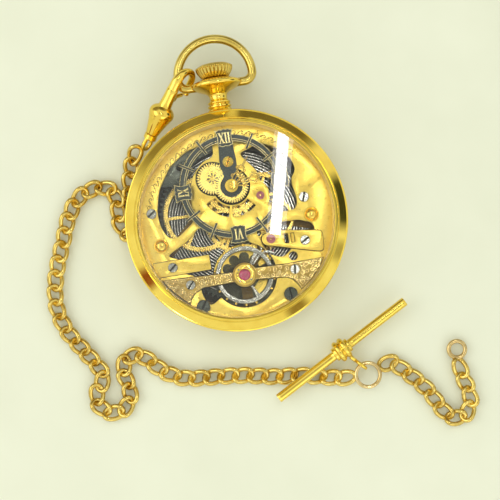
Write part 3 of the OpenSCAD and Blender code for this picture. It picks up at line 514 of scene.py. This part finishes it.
# Swivel clip
clip = (Matrix.Translation((-16.2, 22.7, 5.1)) @ turned(53.7) @ Matrix.Rotation(math.radians(68), 4, "Y")
        @ turned(-25))
HOOK_R, HOOK_Z = 2.8, 13.4
body = Shape().lathe(
    [(0.5, 1.9), (0.55, 0.0), (1.35, 0.0), (1.47, 0.08), (1.52, 0.3), (1.95, 2.0), (2.5, 3.9), (2.62, 4.1),
     (2.6, 4.25), (2.72, 4.5), (2.88, 4.9), (2.92, 5.4), (2.85, 5.9), (2.6, 6.35), (2.2, 6.75), (1.85, 7.0),
     (1.55, 7.15), (1.5, 7.3), (1.42, 8.4), (1.34, 10.5), (1.33, 11.6), (1.28, 11.66), (1.2, 11.7),
     (0, 11.7)], clip, 64)
hook = [(0, 0, 11.5), (0, 0, 12.0), (0, 0, 12.6)]
hook += [(HOOK_R - HOOK_R * math.cos(a), 0, HOOK_Z + HOOK_R * math.sin(a)) for a in
         (math.pi * k / 28 for k in range(29))]
hook += [(2 * HOOK_R, 0, z) for z in (12.4, 11.4, 10.5, 10.35)]
radii = [1.3 - 0.5 * min(1, k / 16) for k in range(len(hook))]
radii[-1] = 0.6
body.tube(hook, radii, 20, False, clip)
body.object("clip_body_turned", GOLD, "case", ("clip_body",), angle=40)
gate = Shape().tube([(1.3, 0.75, 9.5), (1.3, -0.75, 9.5)], 0.7, 24, False, clip)
reach = [0.2, 0.6, 1.6, 2.6, 3.15, 3.3]
gate.tube([(1.3 + g * math.sin(math.radians(75)), 0, 9.5 + g * math.cos(math.radians(75))) for g in reach],
          [0.55, 0.5, 0.5, 0.48, 0.45, 0.3], 16, False, clip)
gate.object("clip_gate_turned", GOLD, "gate", ("clip_gate",))
eye = Shape().lathe([(0.5, 1.9), (0.5, -0.1), (1.3, -0.1), (1.5, -0.25), (1.5, -1.2), (1.35, -1.4),
                     (0.0, -1.4)], clip, 48)
sweep = [math.pi * (k / 24 - 0.72) for k in range(36)]
stirrup = [(1.25 * math.sin(a), 0, -2.6 - 1.5 * math.cos(a)) for a in sweep]
eye.tube([(-1.1, 0, -1.2)] + stirrup[2:-1] + [(1.1, 0, -1.2)], 0.47, 12, False, clip)
eye.object("clip_eye_stirrup", GOLD, "swivel_eye", ("clip_eye",))


# ---------------------------------------------------------------- case

def along_y():
    """Stands a lathe's axis along Y, at the height of the pendant."""
    return Matrix.Translation((0, 0, PENDANT_HEIGHT)) @ Matrix.Rotation(math.radians(-90), 4, "X")


bezel = Shape().lathe(
    [(22.6, 10.0), (24.45, 10.0), (24.75, 10.12), (24.93, 10.35), (25.0, 10.62), (24.97, 10.82),
     (24.86, 10.96), (24.72, 11.02), (24.62, 11.0), (24.56, 11.06), (23.02, 12.22), (22.94, 12.32),
     (22.86, 12.38), (22.8, 12.34), (22.7, 12.36), (22.58, 12.5), (22.5, 12.6), (22.4, 12.68),
     (22.25, 12.7), (22.02, 12.68), (21.92, 12.6), (21.9, 12.45), (21.9, 11.1), (22.6, 10.9)],
    None, 256, True)
bezel.object("bezel_turned", BEZEL_GOLD, "case", ("bezel",), angle=6)

dome = [(21.9 * k / 24, 13.2 - 1.0 * (k / 24) ** 2) for k in range(25)]
under = [(21.9 * k / 24, 12.75 - 1.0 * (k / 24) ** 2) for k in range(24, -1, -1)]
Shape().lathe(dome + under, None, 160).object("crystal_dome", GLASS, "case", ("crystal",), angle=50)

pendant_profile = [
    (0.0, 23.0), (2.3, 23.0), (2.3, 25.15), (2.45, 25.2), (2.66, 25.3), (2.72, 25.5), (2.6, 25.7),
    (2.3, 25.78), (2.25, 25.9), (2.5, 25.98), (2.68, 26.15), (2.68, 26.4), (2.5, 26.6), (2.22, 26.68),
    (2.22, 26.8), (2.45, 26.88), (2.6, 27.05), (2.55, 27.3), (2.25, 27.5), (2.1, 27.7), (2.0, 28.0),
    (2.0, 28.4), (2.05, 28.8), (2.25, 29.15), (2.7, 29.5), (3.6, 29.88), (4.6, 30.3), (5.4, 30.72),
    (5.8, 30.95), (5.9, 31.1), (5.9, 31.5), (5.78, 31.68), (5.4, 31.95), (4.6, 32.3), (3.6, 32.6),
    (3.0, 32.68), (0.0, 32.68)]
Shape().lathe(pendant_profile, along_y(), 96).object("pendant_turned", GOLD, "case", ("pendant",), angle=38)

FLUTES = 26


def fluted(a, r, z):
    """Cuts the crown's flutes, fading out towards both ends."""
    deep = min(1, max(0, (z - 32.9) / 0.5)) * min(1, max(0, (35.1 - z) / 0.35)) if r > 1 else 0
    wave = abs(math.cos(a * FLUTES / 2)) ** 0.6
    return r - 0.42 * deep * (1 - wave)


crown_profile = [
    (0.0, 32.8), (2.6, 32.8), (2.95, 32.9), (3.2, 33.1), (3.45, 33.4), (3.7, 33.8), (3.95, 34.2),
    (4.12, 34.6), (4.2, 34.8), (4.22, 34.95), (4.12, 35.08), (4.0, 35.14), (4.0, 35.35), (3.9, 35.55),
    (3.6, 35.78), (3.1, 36.0), (2.4, 36.15), (1.5, 36.25), (0.6, 36.3), (0.0, 36.3)]
crown = Shape().lathe(crown_profile, along_y(), FLUTES * 12, False, fluted)
for k in range(FLUTES * 2):
    a = 2 * math.pi * (k + 0.5) / (FLUTES * 2)
    ball = Matrix.Translation((4.0 * math.cos(a), 4.0 * math.sin(a), 35.25))
    crown.lathe([(0.0, -0.26), (0.13, -0.22), (0.23, -0.12), (0.26, 0), (0.23, 0.12), (0.13, 0.22),
                 (0.0, 0.26)], along_y() @ ball, 10)
crown.object("crown_fluted", OLIVE, "crown_assembly", ("crown",), angle=40)

turn_r, bow_r = 2.1, 8.5
bow = [(4.6, 0), (5.2, 0), (6.0, 0)]
bow += [(bow_r - turn_r + turn_r * math.sin(a), turn_r - turn_r * math.cos(a)) for a in
        (math.pi / 2 * k / 12 for k in range(12))]
bow += [(bow_r * math.cos(a), turn_r + bow_r * math.sin(a)) for a in
        (math.pi / 2 * k / 36 for k in range(37))]
bow = bow + [(-x, y) for x, y in bow[-2::-1]]
bow_line = [(x, 31.3 + y, PENDANT_HEIGHT) for x, y in bow]
Shape().tube(bow_line, 1.0, 28).object("bow_round", OLIVE, "bow_ring", ("bow",))

# ---------------------------------------------------------------- dial

def gold_lines(shape, outline, z, radius):
    """A thin gold line along an outline."""
    shape.tube([(x, y, z) for x, y in outline], radius, 6, True)


def on_dial(hour):
    """Turns the Y axis to an hour, from the centre of the dial."""
    return turned(-30 * hour, DIAL)


def moved(matrix, outline):
    """An outline in the plan after a move or turn."""
    return [tuple((matrix @ Vector((x, y, 0)))[:2]) for x, y in outline]


shield = smooth_route([
    (0.0, -1.85), (0.45, -2.02), (0.95, -1.9), (1.2, -1.72), (1.62, -1.75), (1.55, -0.8), (1.5, 0.0),
    (1.6, 0.9), (1.95, 1.95), (1.5, 1.78), (1.15, 1.95), (0.8, 2.05), (0.45, 1.9), (0.0, 2.1),
    (-0.45, 1.9), (-0.8, 2.05), (-1.15, 1.95), (-1.5, 1.78), (-1.95, 1.95), (-1.6, 0.9), (-1.5, 0.0),
    (-1.55, -0.8), (-1.62, -1.75), (-1.2, -1.72), (-0.95, -1.9), (-0.45, -2.02)], 3, True)
shield = [(p.x * 1.08, p.y) for p in shield]
STROKES = {
    "I": (0.64, [((0, -1.05), (0, 1.05), 0.29)]),
    "V": (1.15, [((-0.38, 1.05), (0.02, -1.05), 0.31), ((0.4, 1.05), (0.02, -1.05), 0.15)]),
    "X": (1.18, [((-0.4, 1.05), (0.4, -1.05), 0.31), ((0.4, 1.05), (-0.4, -1.05), 0.15)])}


def numeral(shape, word, matrix, z):
    """Roman figures of thick and thin strokes with small serifs."""
    width = sum(STROKES[c][0] for c in word)
    x = -width / 2
    for c in word:
        advance, strokes = STROKES[c]
        for (x0, y0), (x1, y1), thick in strokes:
            a, b = Vector((x + advance / 2 + x0, y0)), Vector((x + advance / 2 + x1, y1))
            n = Vector((-(b - a).y, (b - a).x)).normalized() * thick / 2
            quad = [a - n, b - n, b + n, a + n]
            if (b - a).cross(n) < 0:
                quad = quad[::-1]
            shape.prism([tuple(q) for q in quad], z, z + 0.09, 0, matrix)
            for end in (a, b):
                if c == "V" and end.y < 0:
                    continue
                w = 0.26 if thick > 0.2 else 0.22
                serif = [(end.x + i * w, end.y + j * 0.06) for i, j in ((-1, -1), (1, -1), (1, 1), (-1, 1))]
                shape.prism(serif, z, z + 0.09, 0, matrix)
        x += advance


NUMERALS = {12: "XII", 3: "III", 6: "VI", 9: "IX"}
markers, gilding = Shape(), Shape()
for hour in range(1, 13):
    matrix = on_dial(hour)
    if hour % 3 == 0:
        place = matrix @ Matrix.Translation((0, 10.9, 0))
        markers.prism(shield, 10.4, 10.55, 0.04, place)
        gold_lines(gilding, moved(place, inset(shield, 0.1)), 10.54, 0.075)
        numeral(gilding, NUMERALS[hour], place @ Matrix.Diagonal((1.08, 1.08, 1, 1)), 10.55)
    else:
        outline = [(-0.3, 9.0), (0.3, 9.0), (0.3, 12.75), (-0.3, 12.75)]
        markers.prism(outline, 10.4, 10.53, 0.03, matrix)
        gold_lines(gilding, moved(matrix, inset(outline, 0.06)), 10.52, 0.06)
markers.object("hour_plates", SLATE, "case", ("hour_markers",))

ring = Shape().lathe([(10.1, 10.1), (11.7, 10.1), (11.7, 10.37), (11.66, 10.4), (10.14, 10.4),
                      (10.1, 10.37)], placed_at(DIAL), 180, True)
ring.object("chapter_ring_fine", SLATE, "case", ("chapter_ring",), angle=30)
for radius in (10.2, 10.62, 11.6):
    gold_lines(gilding, circle(radius, 160, DIAL), 10.39, 0.075)
arm = [(1.6, 19.0), (1.62, 17), (1.75, 15.2), (1.9, 13.6), (1.85, 12.2), (1.55, 11.2), (1.35, 10.4),
       (1.5, 9.9)]
a0 = math.atan2(2.2, 1.5)
arm += [(2.5 * math.cos(a), DIAL[1] + 2.5 * math.sin(a)) for a in
        (a0 - (math.pi + 2 * a0) * k / 40 for k in range(1, 41))]
arm_left = [(-x, y) for x, y in arm[7::-1]]
outline = (arm[:-1] + arm_left)[::-1]
plate = Shape().prism(outline, 10.1, 10.42, 0.05)
plate.lathe([(0.6, PLATE_TOP), (1.25, PLATE_TOP), (1.25, 10.15), (0.6, 10.15)], placed_at(DIAL_ARM_SCREW),
            40, True)
plate.object("dial_arm_fine", SLATE, "case", ("dial_arm",), angle=30)
gilding.object("dial_gilding", GILDING, "case", (), "polished_gold")


def slotted_head(shape, at, radius, z, height, turn, slot_width=0.26):
    """A screw head with a polished slope at its edge and a slot cut across it, whose floor is painted dark
    as shade.
    """
    start = math.asin(slot_width / 2 / radius)
    angles = [start + (math.pi - 2 * start) * k / 24 for k in range(25)]
    for side in (1, -1):
        arc = [(side * radius * math.cos(a), side * radius * math.sin(a)) for a in angles]
        shape.prism(arc, z + height * 0.35, z + height, min(0.12, height * 0.35), turned(turn, at))
    # The slot's floor takes the second material, a painted shade
    shape.slot = 1
    floor_z = z + height * 0.4
    shape.lathe([(0.0, z), (radius, z), (radius, floor_z), (0.0, floor_z)], placed_at(at), 48)
    shape.slot = 0


def screws(name, node, places, radius, z, height, turn, material, shank):
    """Slotted screws on short shanks that reach into the plate below."""
    shape = Shape()
    for k, at in enumerate(places):
        slotted_head(shape, at, radius, z, height, turn + 37 * k)
        shape.lathe([(0.0, z - shank), (radius * 0.5, z - shank), (radius * 0.5, z + 0.05), (0.0, z + 0.05)],
                    placed_at(at), 24)
    shape.object(name, [material, SHADE], "case", (node,), angle=30)


screws("plate_screw_heads", "plate_screws", [(-18.7, 4.2), (15.7, 3.0)], 1.15, PLATE_TOP, 0.35, 35, STEEL,
       0.8)
screws("bridge_screw_heads", "bridge_screws", BRIDGE_SCREWS, 1.1, BRIDGE_TOP, 0.35, 50, STEEL, 1.2)
screws("dog_screw_heads", "dog_screws", [(-10.2, -18.1), (9.6, -18.1)], 1.5, PLATE_TOP, 0.7, 60, DARK_STEEL_AND_GAP_SHADE, 0.8)
screws("dial_arm_screw_head", "dial_arm_screw", [DIAL_ARM_SCREW], 1.2, 10.4, 0.2, 65, GOLD, 1.1)
bar_heads = Shape()
for at, z, turn in (((-15.7, -8.5), 9.9, 40), ((14.5, -6.7), 10.0, 30)):
    slotted_head(bar_heads, at, 1.1, z, 0.35, turn)
    bar_heads.lathe([(0.0, z - 1.2), (0.55, z - 1.2), (0.55, z), (0.0, z)], placed_at(at), 24)
bar_heads.object("bar_screw_heads", [STEEL, SHADE], "case", ("bar_screws",), angle=30)

domes = Shape()
for at in ((-17.6, -3.3), (16.8, -1.2)):
    domes.lathe([(0.0, PLATE_TOP), (1.75, PLATE_TOP), (1.75, 9.45), (1.68, 9.55), (1.45, 9.6), (1.32, 9.5),
                 (1.28, 9.42), (1.2, 9.6), (1.0, 9.85), (0.7, 10.02), (0.35, 10.1), (0.0, 10.12)],
                placed_at(at), 48)
domes.object("plate_dome_caps", GOLD, "case", ("plate_domes",), angle=40)


# ---------------------------------------------------------------- hands

def hand(name, node, body, l, angle, z, boss, hole):
    """A pierced hand of length l: paired scrolls on each side of a spine, and a slim tapering point."""
    shape, m = Shape(), turned(90 - angle, DIAL)
    shape.lathe([(hole, z), (boss, z), (boss, z + 0.1), (boss - 0.08, z + 0.16), (hole + 0.05, z + 0.16),
                 (hole, z + 0.12)], m, 48, True)
    for side in (1, -1):
        for width, wave in (
                (0.17, [(boss * 0.8 / l, 0.1), (0.2, 0.62), (0.3, 0.78), (0.4, 0.55), (0.46, 0.12)]),
                (0.15, [(0.44, 0.05), (0.5, 0.5), (0.58, 0.72), (0.66, 0.5), (0.69, 0.1)]),
                (0.11, [(0.26, 0.7), (0.24, 1.05), (0.3, 1.2), (0.34, 1.0)]),
                (0.1, [(0.56, 0.65), (0.53, 1.0), (0.58, 1.12), (0.62, 0.95)])):
            line = smooth_route([(x * l, side * y, z + 0.09) for x, y in wave], 5)
            shape.tube(line, width, 6, False, m, 0.5)
    point = [(l * 0.66, -0.2), (l * 0.8, -0.24), (l * 0.88, -0.1), (l, -0.05), (l, 0.05), (l * 0.88, 0.1),
             (l * 0.8, 0.24), (l * 0.66, 0.2)]
    shape.prism(point, z + 0.02, z + 0.15, 0.04, m)
    spine = [(boss * 0.8, -0.12), (l * 0.46, -0.1), (l * 0.46, 0.1), (boss * 0.8, 0.12)]
    shape.prism(spine, z + 0.03, z + 0.14, 0.03, m)
    shape.object(name, HAND_GOLD, body, (node,), angle=40)


hand("hour_hand_pierced", "hour_hand", "hour_train", 7.6, 36.5, 10.65, 1.4, 0.66)
hand("minute_hand_pierced", "minute_hand", "centre_train", 9.5, 78, 10.95, 1.3, 0.3)
collar = Shape().lathe([(0.0, 10.95), (1.5, 10.95), (1.5, 11.08), (1.42, 11.16), (1.0, 11.26), (0.6, 11.28),
                        (0.45, 11.2), (0.4, 11.26), (0.25, 11.33), (0.0, 11.35)], placed_at(DIAL), 48)
collar.object("centre_boss", GOLD, "centre_train", (), "brass", 30)

# ---------------------------------------------------------------- engraving

scrolls = Shape()
random.seed(7)
bridge_outline = [(-12, -11.2), (-2.4, -11.5), (2.4, -11.2), (9, -11.4)]
bridge_outline += [(21.2 * math.cos(math.radians(a)), 21.2 * math.sin(math.radians(a))) for a in
                   (-31.6 - 3.9 * k for k in range(7))]
bridge_outline += [(11.6, -16.2), (10.6, -14.9), (9.2, -14.2), (2.3, -13.8), (-2.4, -13.7), (-9.5, -13.9),
                   (-11.6, -14.8), (-12.8, -16.2)]
bridge_outline += [(21.4 * math.cos(math.radians(a)), 21.4 * math.sin(math.radians(a))) for a in
                   (-127 - 3.667 * k for k in range(7))]


def edge_distance(p, outline):
    """How far inside an outline a point is; negative outside."""
    inside, nearest, n = False, 1e9, len(outline)
    for i in range(n):
        (x0, y0), (x1, y1) = outline[i], outline[(i + 1) % n]
        if (y0 > p[1]) != (y1 > p[1]) and p[0] < (x1 - x0) * (p[1] - y0) / (y1 - y0) + x0:
            inside = not inside
        a, b = Vector((x0, y0)), Vector((x1, y1))
        t = max(0, min(1, (Vector(p) - a).dot(b - a) / (b - a).length_squared))
        nearest = min(nearest, (a.lerp(b, t) - Vector(p)).length)
    return nearest if inside else -nearest


SCROLL_Z = 10.04
placed = []
for _ in range(9000):
    p = (random.uniform(-20, 20), random.uniform(-18, -10.5))
    size = random.uniform(0.4, 0.62)
    if edge_distance(p, bridge_outline) < size * 0.8 or math.dist(p, BALANCE) < 2.75 + size:
        continue
    if any(math.dist(p, q) < 1.15 + size for q in BRIDGE_SCREWS):
        continue
    if any(math.dist(p, q[:2]) < (size + q[2]) * 0.92 for q in placed):
        continue
    placed.append((*p, size))
for x, y, size in placed:
    heading, way = random.uniform(0, 2 * math.pi), random.choice((1, -1))
    line = []
    for k in range(20):
        t = k / 19
        a, r = heading + way * t * 2 * math.pi * 1.35, size * (1.05 - 0.85 * t)
        line.append((x + r * math.cos(a), y + r * math.sin(a), SCROLL_Z))
    scrolls.tube(line, [0.07 + 0.05 * math.sin(math.pi * k / 19) for k in range(20)], 6)
    r = size * 1.02
    line = [(x + r * math.cos(heading - way * s), y + r * math.sin(heading - way * s), SCROLL_Z)
            for s in (0.0, 0.25, 0.5, 0.75)]
    scrolls.tube(line, [0.11, 0.1, 0.08, 0.04], 6)
scrolls.tube([(x, y, 10.01) for x, y in inset(bridge_outline[::-1], 0.22)], 0.06, 6, True)
scrolls.object("bridge_scrollwork", SCROLL_GOLD, "case", (), "polished_gold", 50)

ornament = Shape()
for k in range(25):
    a = math.radians(163 - 5.0 * k)
    if 84 < math.degrees(a) < 97:
        continue
    m = Matrix.Translation((19.7 * math.cos(a), 19.7 * math.sin(a), 0)) @ turned(math.degrees(a) - 90)
    wave = [(-0.85, -0.15), (-0.55, 0.35), (-0.1, 0.5), (0.22, 0.2), (0.1, -0.12), (-0.15, -0.05),
            (-0.08, 0.12)]
    ornament.tube(smooth_route([(x, y, PLATE_TOP + 0.01) for x, y in wave], 4), 0.085, 5, False, m)
    wave = [(-0.1, -0.45), (0.35, -0.4), (0.7, -0.1), (0.85, 0.25)]
    ornament.tube(smooth_route([(x, y, PLATE_TOP + 0.01) for x, y in wave], 4), 0.075, 5, False, m)
ornament.object("plate_border_scrolls", ETCHED, "case", (), "olive_gold", 50)

# ---------------------------------------------------------------- movement

refined("main_plate", 0.14)
refined("balance_bridge", 0.14)
refined("escape_cock", 0.16, PLATE)
refined("left_bar", 0.14)
refined("setting_cover", 0.14)
refined("balance_chaton", 0.06)

jewel = Shape().lathe([(0.0, 9.8), (1.3, 9.8), (1.3, 10.3), (1.22, 10.42), (1.0, 10.58), (0.7, 10.7),
                       (0.35, 10.76), (0.0, 10.78)], placed_at(BALANCE), 48)
jewel.object("balance_jewel_dome", RUBY, "case", ("balance_jewel",), angle=60)
dots = Shape()
for k in range(4):
    a = math.radians(45 + 90 * k)
    slotted_head(dots, (1.8 * math.cos(a), BALANCE[1] + 1.8 * math.sin(a)), 0.22, 10.38, 0.07, 20 * k, 0.07)
dots.object("chaton_screws", [STEEL, SHADE], "case", (), "steel")

turns, inner, outer, steps = 21, 3.2, 16.2, 60
low, high, thick = 3.0, 5.0, 0.24
rows = []
for k in range(turns * steps + 1):
    a, r = 2 * math.pi * k / steps, inner + (outer - inner) * k / (turns * steps)
    c, s, top = math.cos(a), math.sin(a), high + 0.05 * math.sin(7 * a)
    rows.append([((r + o) * c, (r + o) * s, z) for o, z in ((0, low), (thick, low), (thick, top), (0, top))])
coil = Shape().grid(rows, False, True)
coil.object("mainspring_coils", SPRING, "barrel", ("mainspring",), angle=50)

hair = Shape()
line = []
for k in range(12 * 36 + 1):
    a, r = 2 * math.pi * k / 36, 0.95 + 3.5 * k / (12 * 36)
    line.append((r * math.cos(a), BALANCE[1] + r * math.sin(a), 8.87))
hair.tube(line, 0.035, 4, False, None, 2.2)
hair.object("hairspring_coil", SPRING, "balance", ("hairspring",), angle=60)

wheel = Shape().lathe([(5.45, 7.75), (5.6, 7.62), (6.4, 7.6), (6.5, 7.7), (6.5, 8.5), (6.42, 8.6),
                       (6.05, 8.6), (5.98, 8.5), (5.6, 8.48), (5.45, 8.35)], placed_at(BALANCE), 160, True)
wheel.lathe([(0.3, 7.9), (0.95, 7.9), (1.0, 8.0), (0.95, 8.3), (0.3, 8.3)], placed_at(BALANCE), 40, True)
spoke = [(0.7, -0.42), (2.6, -0.27), (4.4, -0.3), (5.6, -0.55), (5.6, 0.55), (4.4, 0.3), (2.6, 0.27),
         (0.7, 0.42)]
for k in range(3):
    wheel.prism(spoke, 7.95, 8.22, 0.05, turned(120 * k - 65, BALANCE))
wheel.object("balance_wheel_fine", NICKEL, "balance", ("balance_wheel",), angle=30)
weights = Shape()
for k in range(18):
    a = 20 * k - 55
    if k % 6 == 0:
        continue
    m = turned(a, BALANCE, 8.1) @ Matrix.Rotation(math.radians(90), 4, "Y")
    weights.lathe([(0.0, 6.4), (0.2, 6.4), (0.2, 6.5), (0.3, 6.52), (0.3, 6.95), (0.25, 7.0), (0.0, 7.0)],
                  m, 14)
weights.object("balance_timing_screws", GOLD, "balance", (), "polished_gold", 40)

# Painted shade: thin dark rings on the plate under the teeth of the minute and hour wheels
wells = Shape()
for at, inner_r, outer_r in ((MINUTE_WHEEL, 3.1, 3.85), (DIAL, 3.3, 4.2)):
    wells.lathe([(inner_r, PLATE_TOP), (outer_r, PLATE_TOP), (outer_r, 9.24), (inner_r, 9.24)],
                placed_at(at), 96, True)
wells.object("wheel_teeth_shade_rings", SHADE, "case", (), "dark_steel")

# Painted shadow: a dark ring laid low in the well round the balance
pit = Shape().lathe([(1.6, 5.25), (7.2, 5.25), (7.2, 5.32), (1.6, 5.32)], placed_at(BALANCE), 96, True)
pit.object("balance_pit", PIT, "case", (), "dark_steel")


def sector(shape, inner_r, outer_r, start, end, holes, hole_r, z0, z1):
    """A ring segment round the balance with round bites out of its inner edge."""
    outline = [(outer_r * math.cos(a), outer_r * math.sin(a)) for a in
               (math.radians(start + (end - start) * k / 60) for k in range(61))]
    for k in range(181):
        angle = end + (start - end) * k / 180
        r = inner_r
        for hole in holes:
            off = inner_r * math.radians(angle - hole)
            if abs(off) < hole_r:
                r = max(r, inner_r + 1.25 * math.sqrt(hole_r ** 2 - off ** 2))
        outline.append((r * math.cos(math.radians(angle)), r * math.sin(math.radians(angle))))
    shape.prism(outline, z0, z1, 0, placed_at(BALANCE))


cradle = Shape()
sector(cradle, 3.9, 7.0, 22, 172, (152, 118, 84, 50), 1.1, 5.45, 5.95)
sector(cradle, 3.4, 5.3, -62, 8, (), 0.5, 5.45, 5.8)
cradle.object("balance_cradle", PLATE, "case", (), "matte_gold")

star = Shape()
for k in range(8):
    m = turned(45 * k, MINUTE_WHEEL)
    star.prism([(0.45, -0.07), (1.15, -0.16), (1.25, 0.0), (1.15, 0.16), (0.45, 0.07)], 9.98, 10.03, 0, m)
# Painted shade: dark dashes in the gaps between the minute wheel's teeth
for k in range(36):
    gap = [(2.8, -0.07), (3.3, -0.1), (3.3, 0.1), (2.8, 0.07)]
    star.prism(gap, 9.65, 9.67, 0, turned(10 * k, MINUTE_WHEEL))
star.object("minute_wheel_rays_and_gap_shade", DARK_STEEL_AND_GAP_SHADE, "minute_train", (), "dark_steel")
# Painted shade: dark dashes in the gaps between the hour wheel's teeth
gaps = Shape()
for k in range(40):
    gap = [(3.05, -0.06), (3.5, -0.1), (3.5, 0.1), (3.05, 0.06)]
    gaps.prism(gap, 9.95, 9.97, 0, turned(9 * k, DIAL))
gaps.object("hour_wheel_gap_shade", DARK_STEEL_AND_GAP_SHADE, "hour_train", (), "dark_steel")
rehaut = Shape().lathe([(21.5, 9.26), (21.88, 9.26), (21.88, 11.08), (21.8, 11.08)], None, 160, True)
rehaut.object("bezel_inner_slope", REHAUT, "case", (), "polished_gold")


def shadow_line(node, reach):
    """A painted shadow: a thin dark line round the foot of a raised plate, kept clear of the arbors that
    pass through it.
    """
    mesh = frame["nodes"][node].data.copy()
    bm = bmesh.new()
    bm.from_mesh(mesh)
    bmesh.ops.remove_doubles(bm, verts=bm.verts, dist=1e-6)
    bm.normal_update()
    for vert in bm.verts:
        out = Vector((vert.normal.x, vert.normal.y, 0))
        place = (vert.co.x / MM, vert.co.y / MM)
        near_arbor = any(math.dist(place, at) < 1.6 for at in (BALANCE, ESCAPE_ARBOR))
        if out.length > 0.15 and not near_arbor:
            vert.co += out.normalized() * reach * MM
        vert.co.z = (PLATE_TOP + (0.005 if vert.normal.z < 0 else 0.025)) * MM
    bm.to_mesh(mesh)
    bm.free()
    obj = bpy.data.objects.new(node + "_painted_shadow_line", mesh)
    bpy.context.scene.collection.objects.link(obj)
    mesh.materials.clear()
    mesh.materials.append(SHADE)
    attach(obj, "case")


for node in ("balance_bridge", "escape_cock", "left_bar"):
    shadow_line(node, 0.16)

# ---------------------------------------------------------------- stage, light and world

floor = bpy.data.objects.new("floor", bpy.data.meshes.new("floor"))
bpy.context.scene.collection.objects.link(floor)
rim = [(1.6 * math.cos(a), 1.6 * math.sin(a), 0) for a in (2 * math.pi * k / 64 for k in range(64))]
floor.data.from_pydata(rim, [], [list(range(64))])
n = Nodes("pale_floor")
n.set(Roughness=0.55)
n.link(n.mixed(n.noise(40, 3), (0.77, 0.79, 0.62), (0.81, 0.83, 0.66)), n.shader.inputs["Base Color"])
floor.data.materials.append(n.material)


def lamp(name, at, toward, width, height, power, color, up=(0, 1, 0)):
    data = bpy.data.lights.new(name, "AREA")
    data.shape, data.size, data.size_y, data.energy, data.color = "RECTANGLE", width, height, power, color
    obj = bpy.data.objects.new(name, data)
    bpy.context.scene.collection.objects.link(obj)
    obj.location = at
    aim(obj, toward, up)


lamp("strip", (0.080, 0.091, 0.51), (0.0, 0.0, 0.01), 0.0175, 0.19, 0.15, (1, 1, 1), (0.24, 0.97, 0))
lamp("strip_halo", (0.081, 0.091, 0.512), (0.0, 0.0, 0.01), 0.030, 0.20, 0.05, (1, 1, 1), (0.24, 0.97, 0))
lamp("softbox_left", (-0.55, 0.1, 0.5), (0.0, 0.0, 0.0), 0.45, 0.6, 1.1, (1.0, 0.99, 0.96))
lamp("softbox_front", (0.15, -0.6, 0.45), (0.0, 0.0, 0.0), 0.6, 0.3, 0.6, (1.0, 0.98, 0.95))
bpy.context.scene.view_settings.view_transform = "Standard"

world = bpy.data.worlds.new("studio")
bpy.context.scene.world = world
world.use_nodes = True
tree = world.node_tree
direction = tree.nodes.new("ShaderNodeTexCoord").outputs["Generated"]
# Darker and brighter parts of the room: azimuth, height, radius at full strength and at the soft edge,
# all in degrees, and the colour
patches = [
    (111, 10, 20, 40, (0.30, 0.27, 0.20)), (64, 8, 18, 32, (0.20, 0.18, 0.13)),
    (84, 8, 1, 4, (0.8, 0.75, 0.55)), (31, 10, 4, 8, (0.95, 0.92, 0.8)), (5, 10, 10, 17, (0.06, 0.07, 0.05)),
    (-22, 10, 3, 8, (0.45, 0.45, 0.4)), (-62, 12, 4, 9, (0.3, 0.24, 0.14)),
    (-158, 12, 3, 8, (0.3, 0.08, 0.03)), (20, 80, 5, 24, (0.36, 0.35, 0.30))]
previous = None
for azimuth, height, inner, outer, value in patches:
    a, e = math.radians(azimuth), math.radians(height)
    dot = tree.nodes.new("ShaderNodeVectorMath")
    dot.operation = "DOT_PRODUCT"
    tree.links.new(direction, dot.inputs[0])
    dot.inputs[1].default_value = (math.cos(a) * math.cos(e), math.sin(a) * math.cos(e), math.sin(e))
    reach = tree.nodes.new("ShaderNodeMapRange")
    reach.inputs["From Min"].default_value = math.cos(math.radians(outer))
    reach.inputs["From Max"].default_value = math.cos(math.radians(inner))
    tree.links.new(dot.outputs["Value"], reach.inputs["Value"])
    mix = tree.nodes.new("ShaderNodeMix")
    mix.data_type = "RGBA"
    tree.links.new(reach.outputs["Result"], mix.inputs["Factor"])
    if previous:
        tree.links.new(previous, mix.inputs["A"])
    else:
        mix.inputs["A"].default_value = (0.98, 1.0, 0.94, 1)
    mix.inputs["B"].default_value = (*value, 1)
    previous = mix.outputs["Result"]
background = tree.nodes["Background"]
tree.links.new(previous, background.inputs["Color"])
background.inputs["Strength"].default_value = 1.0
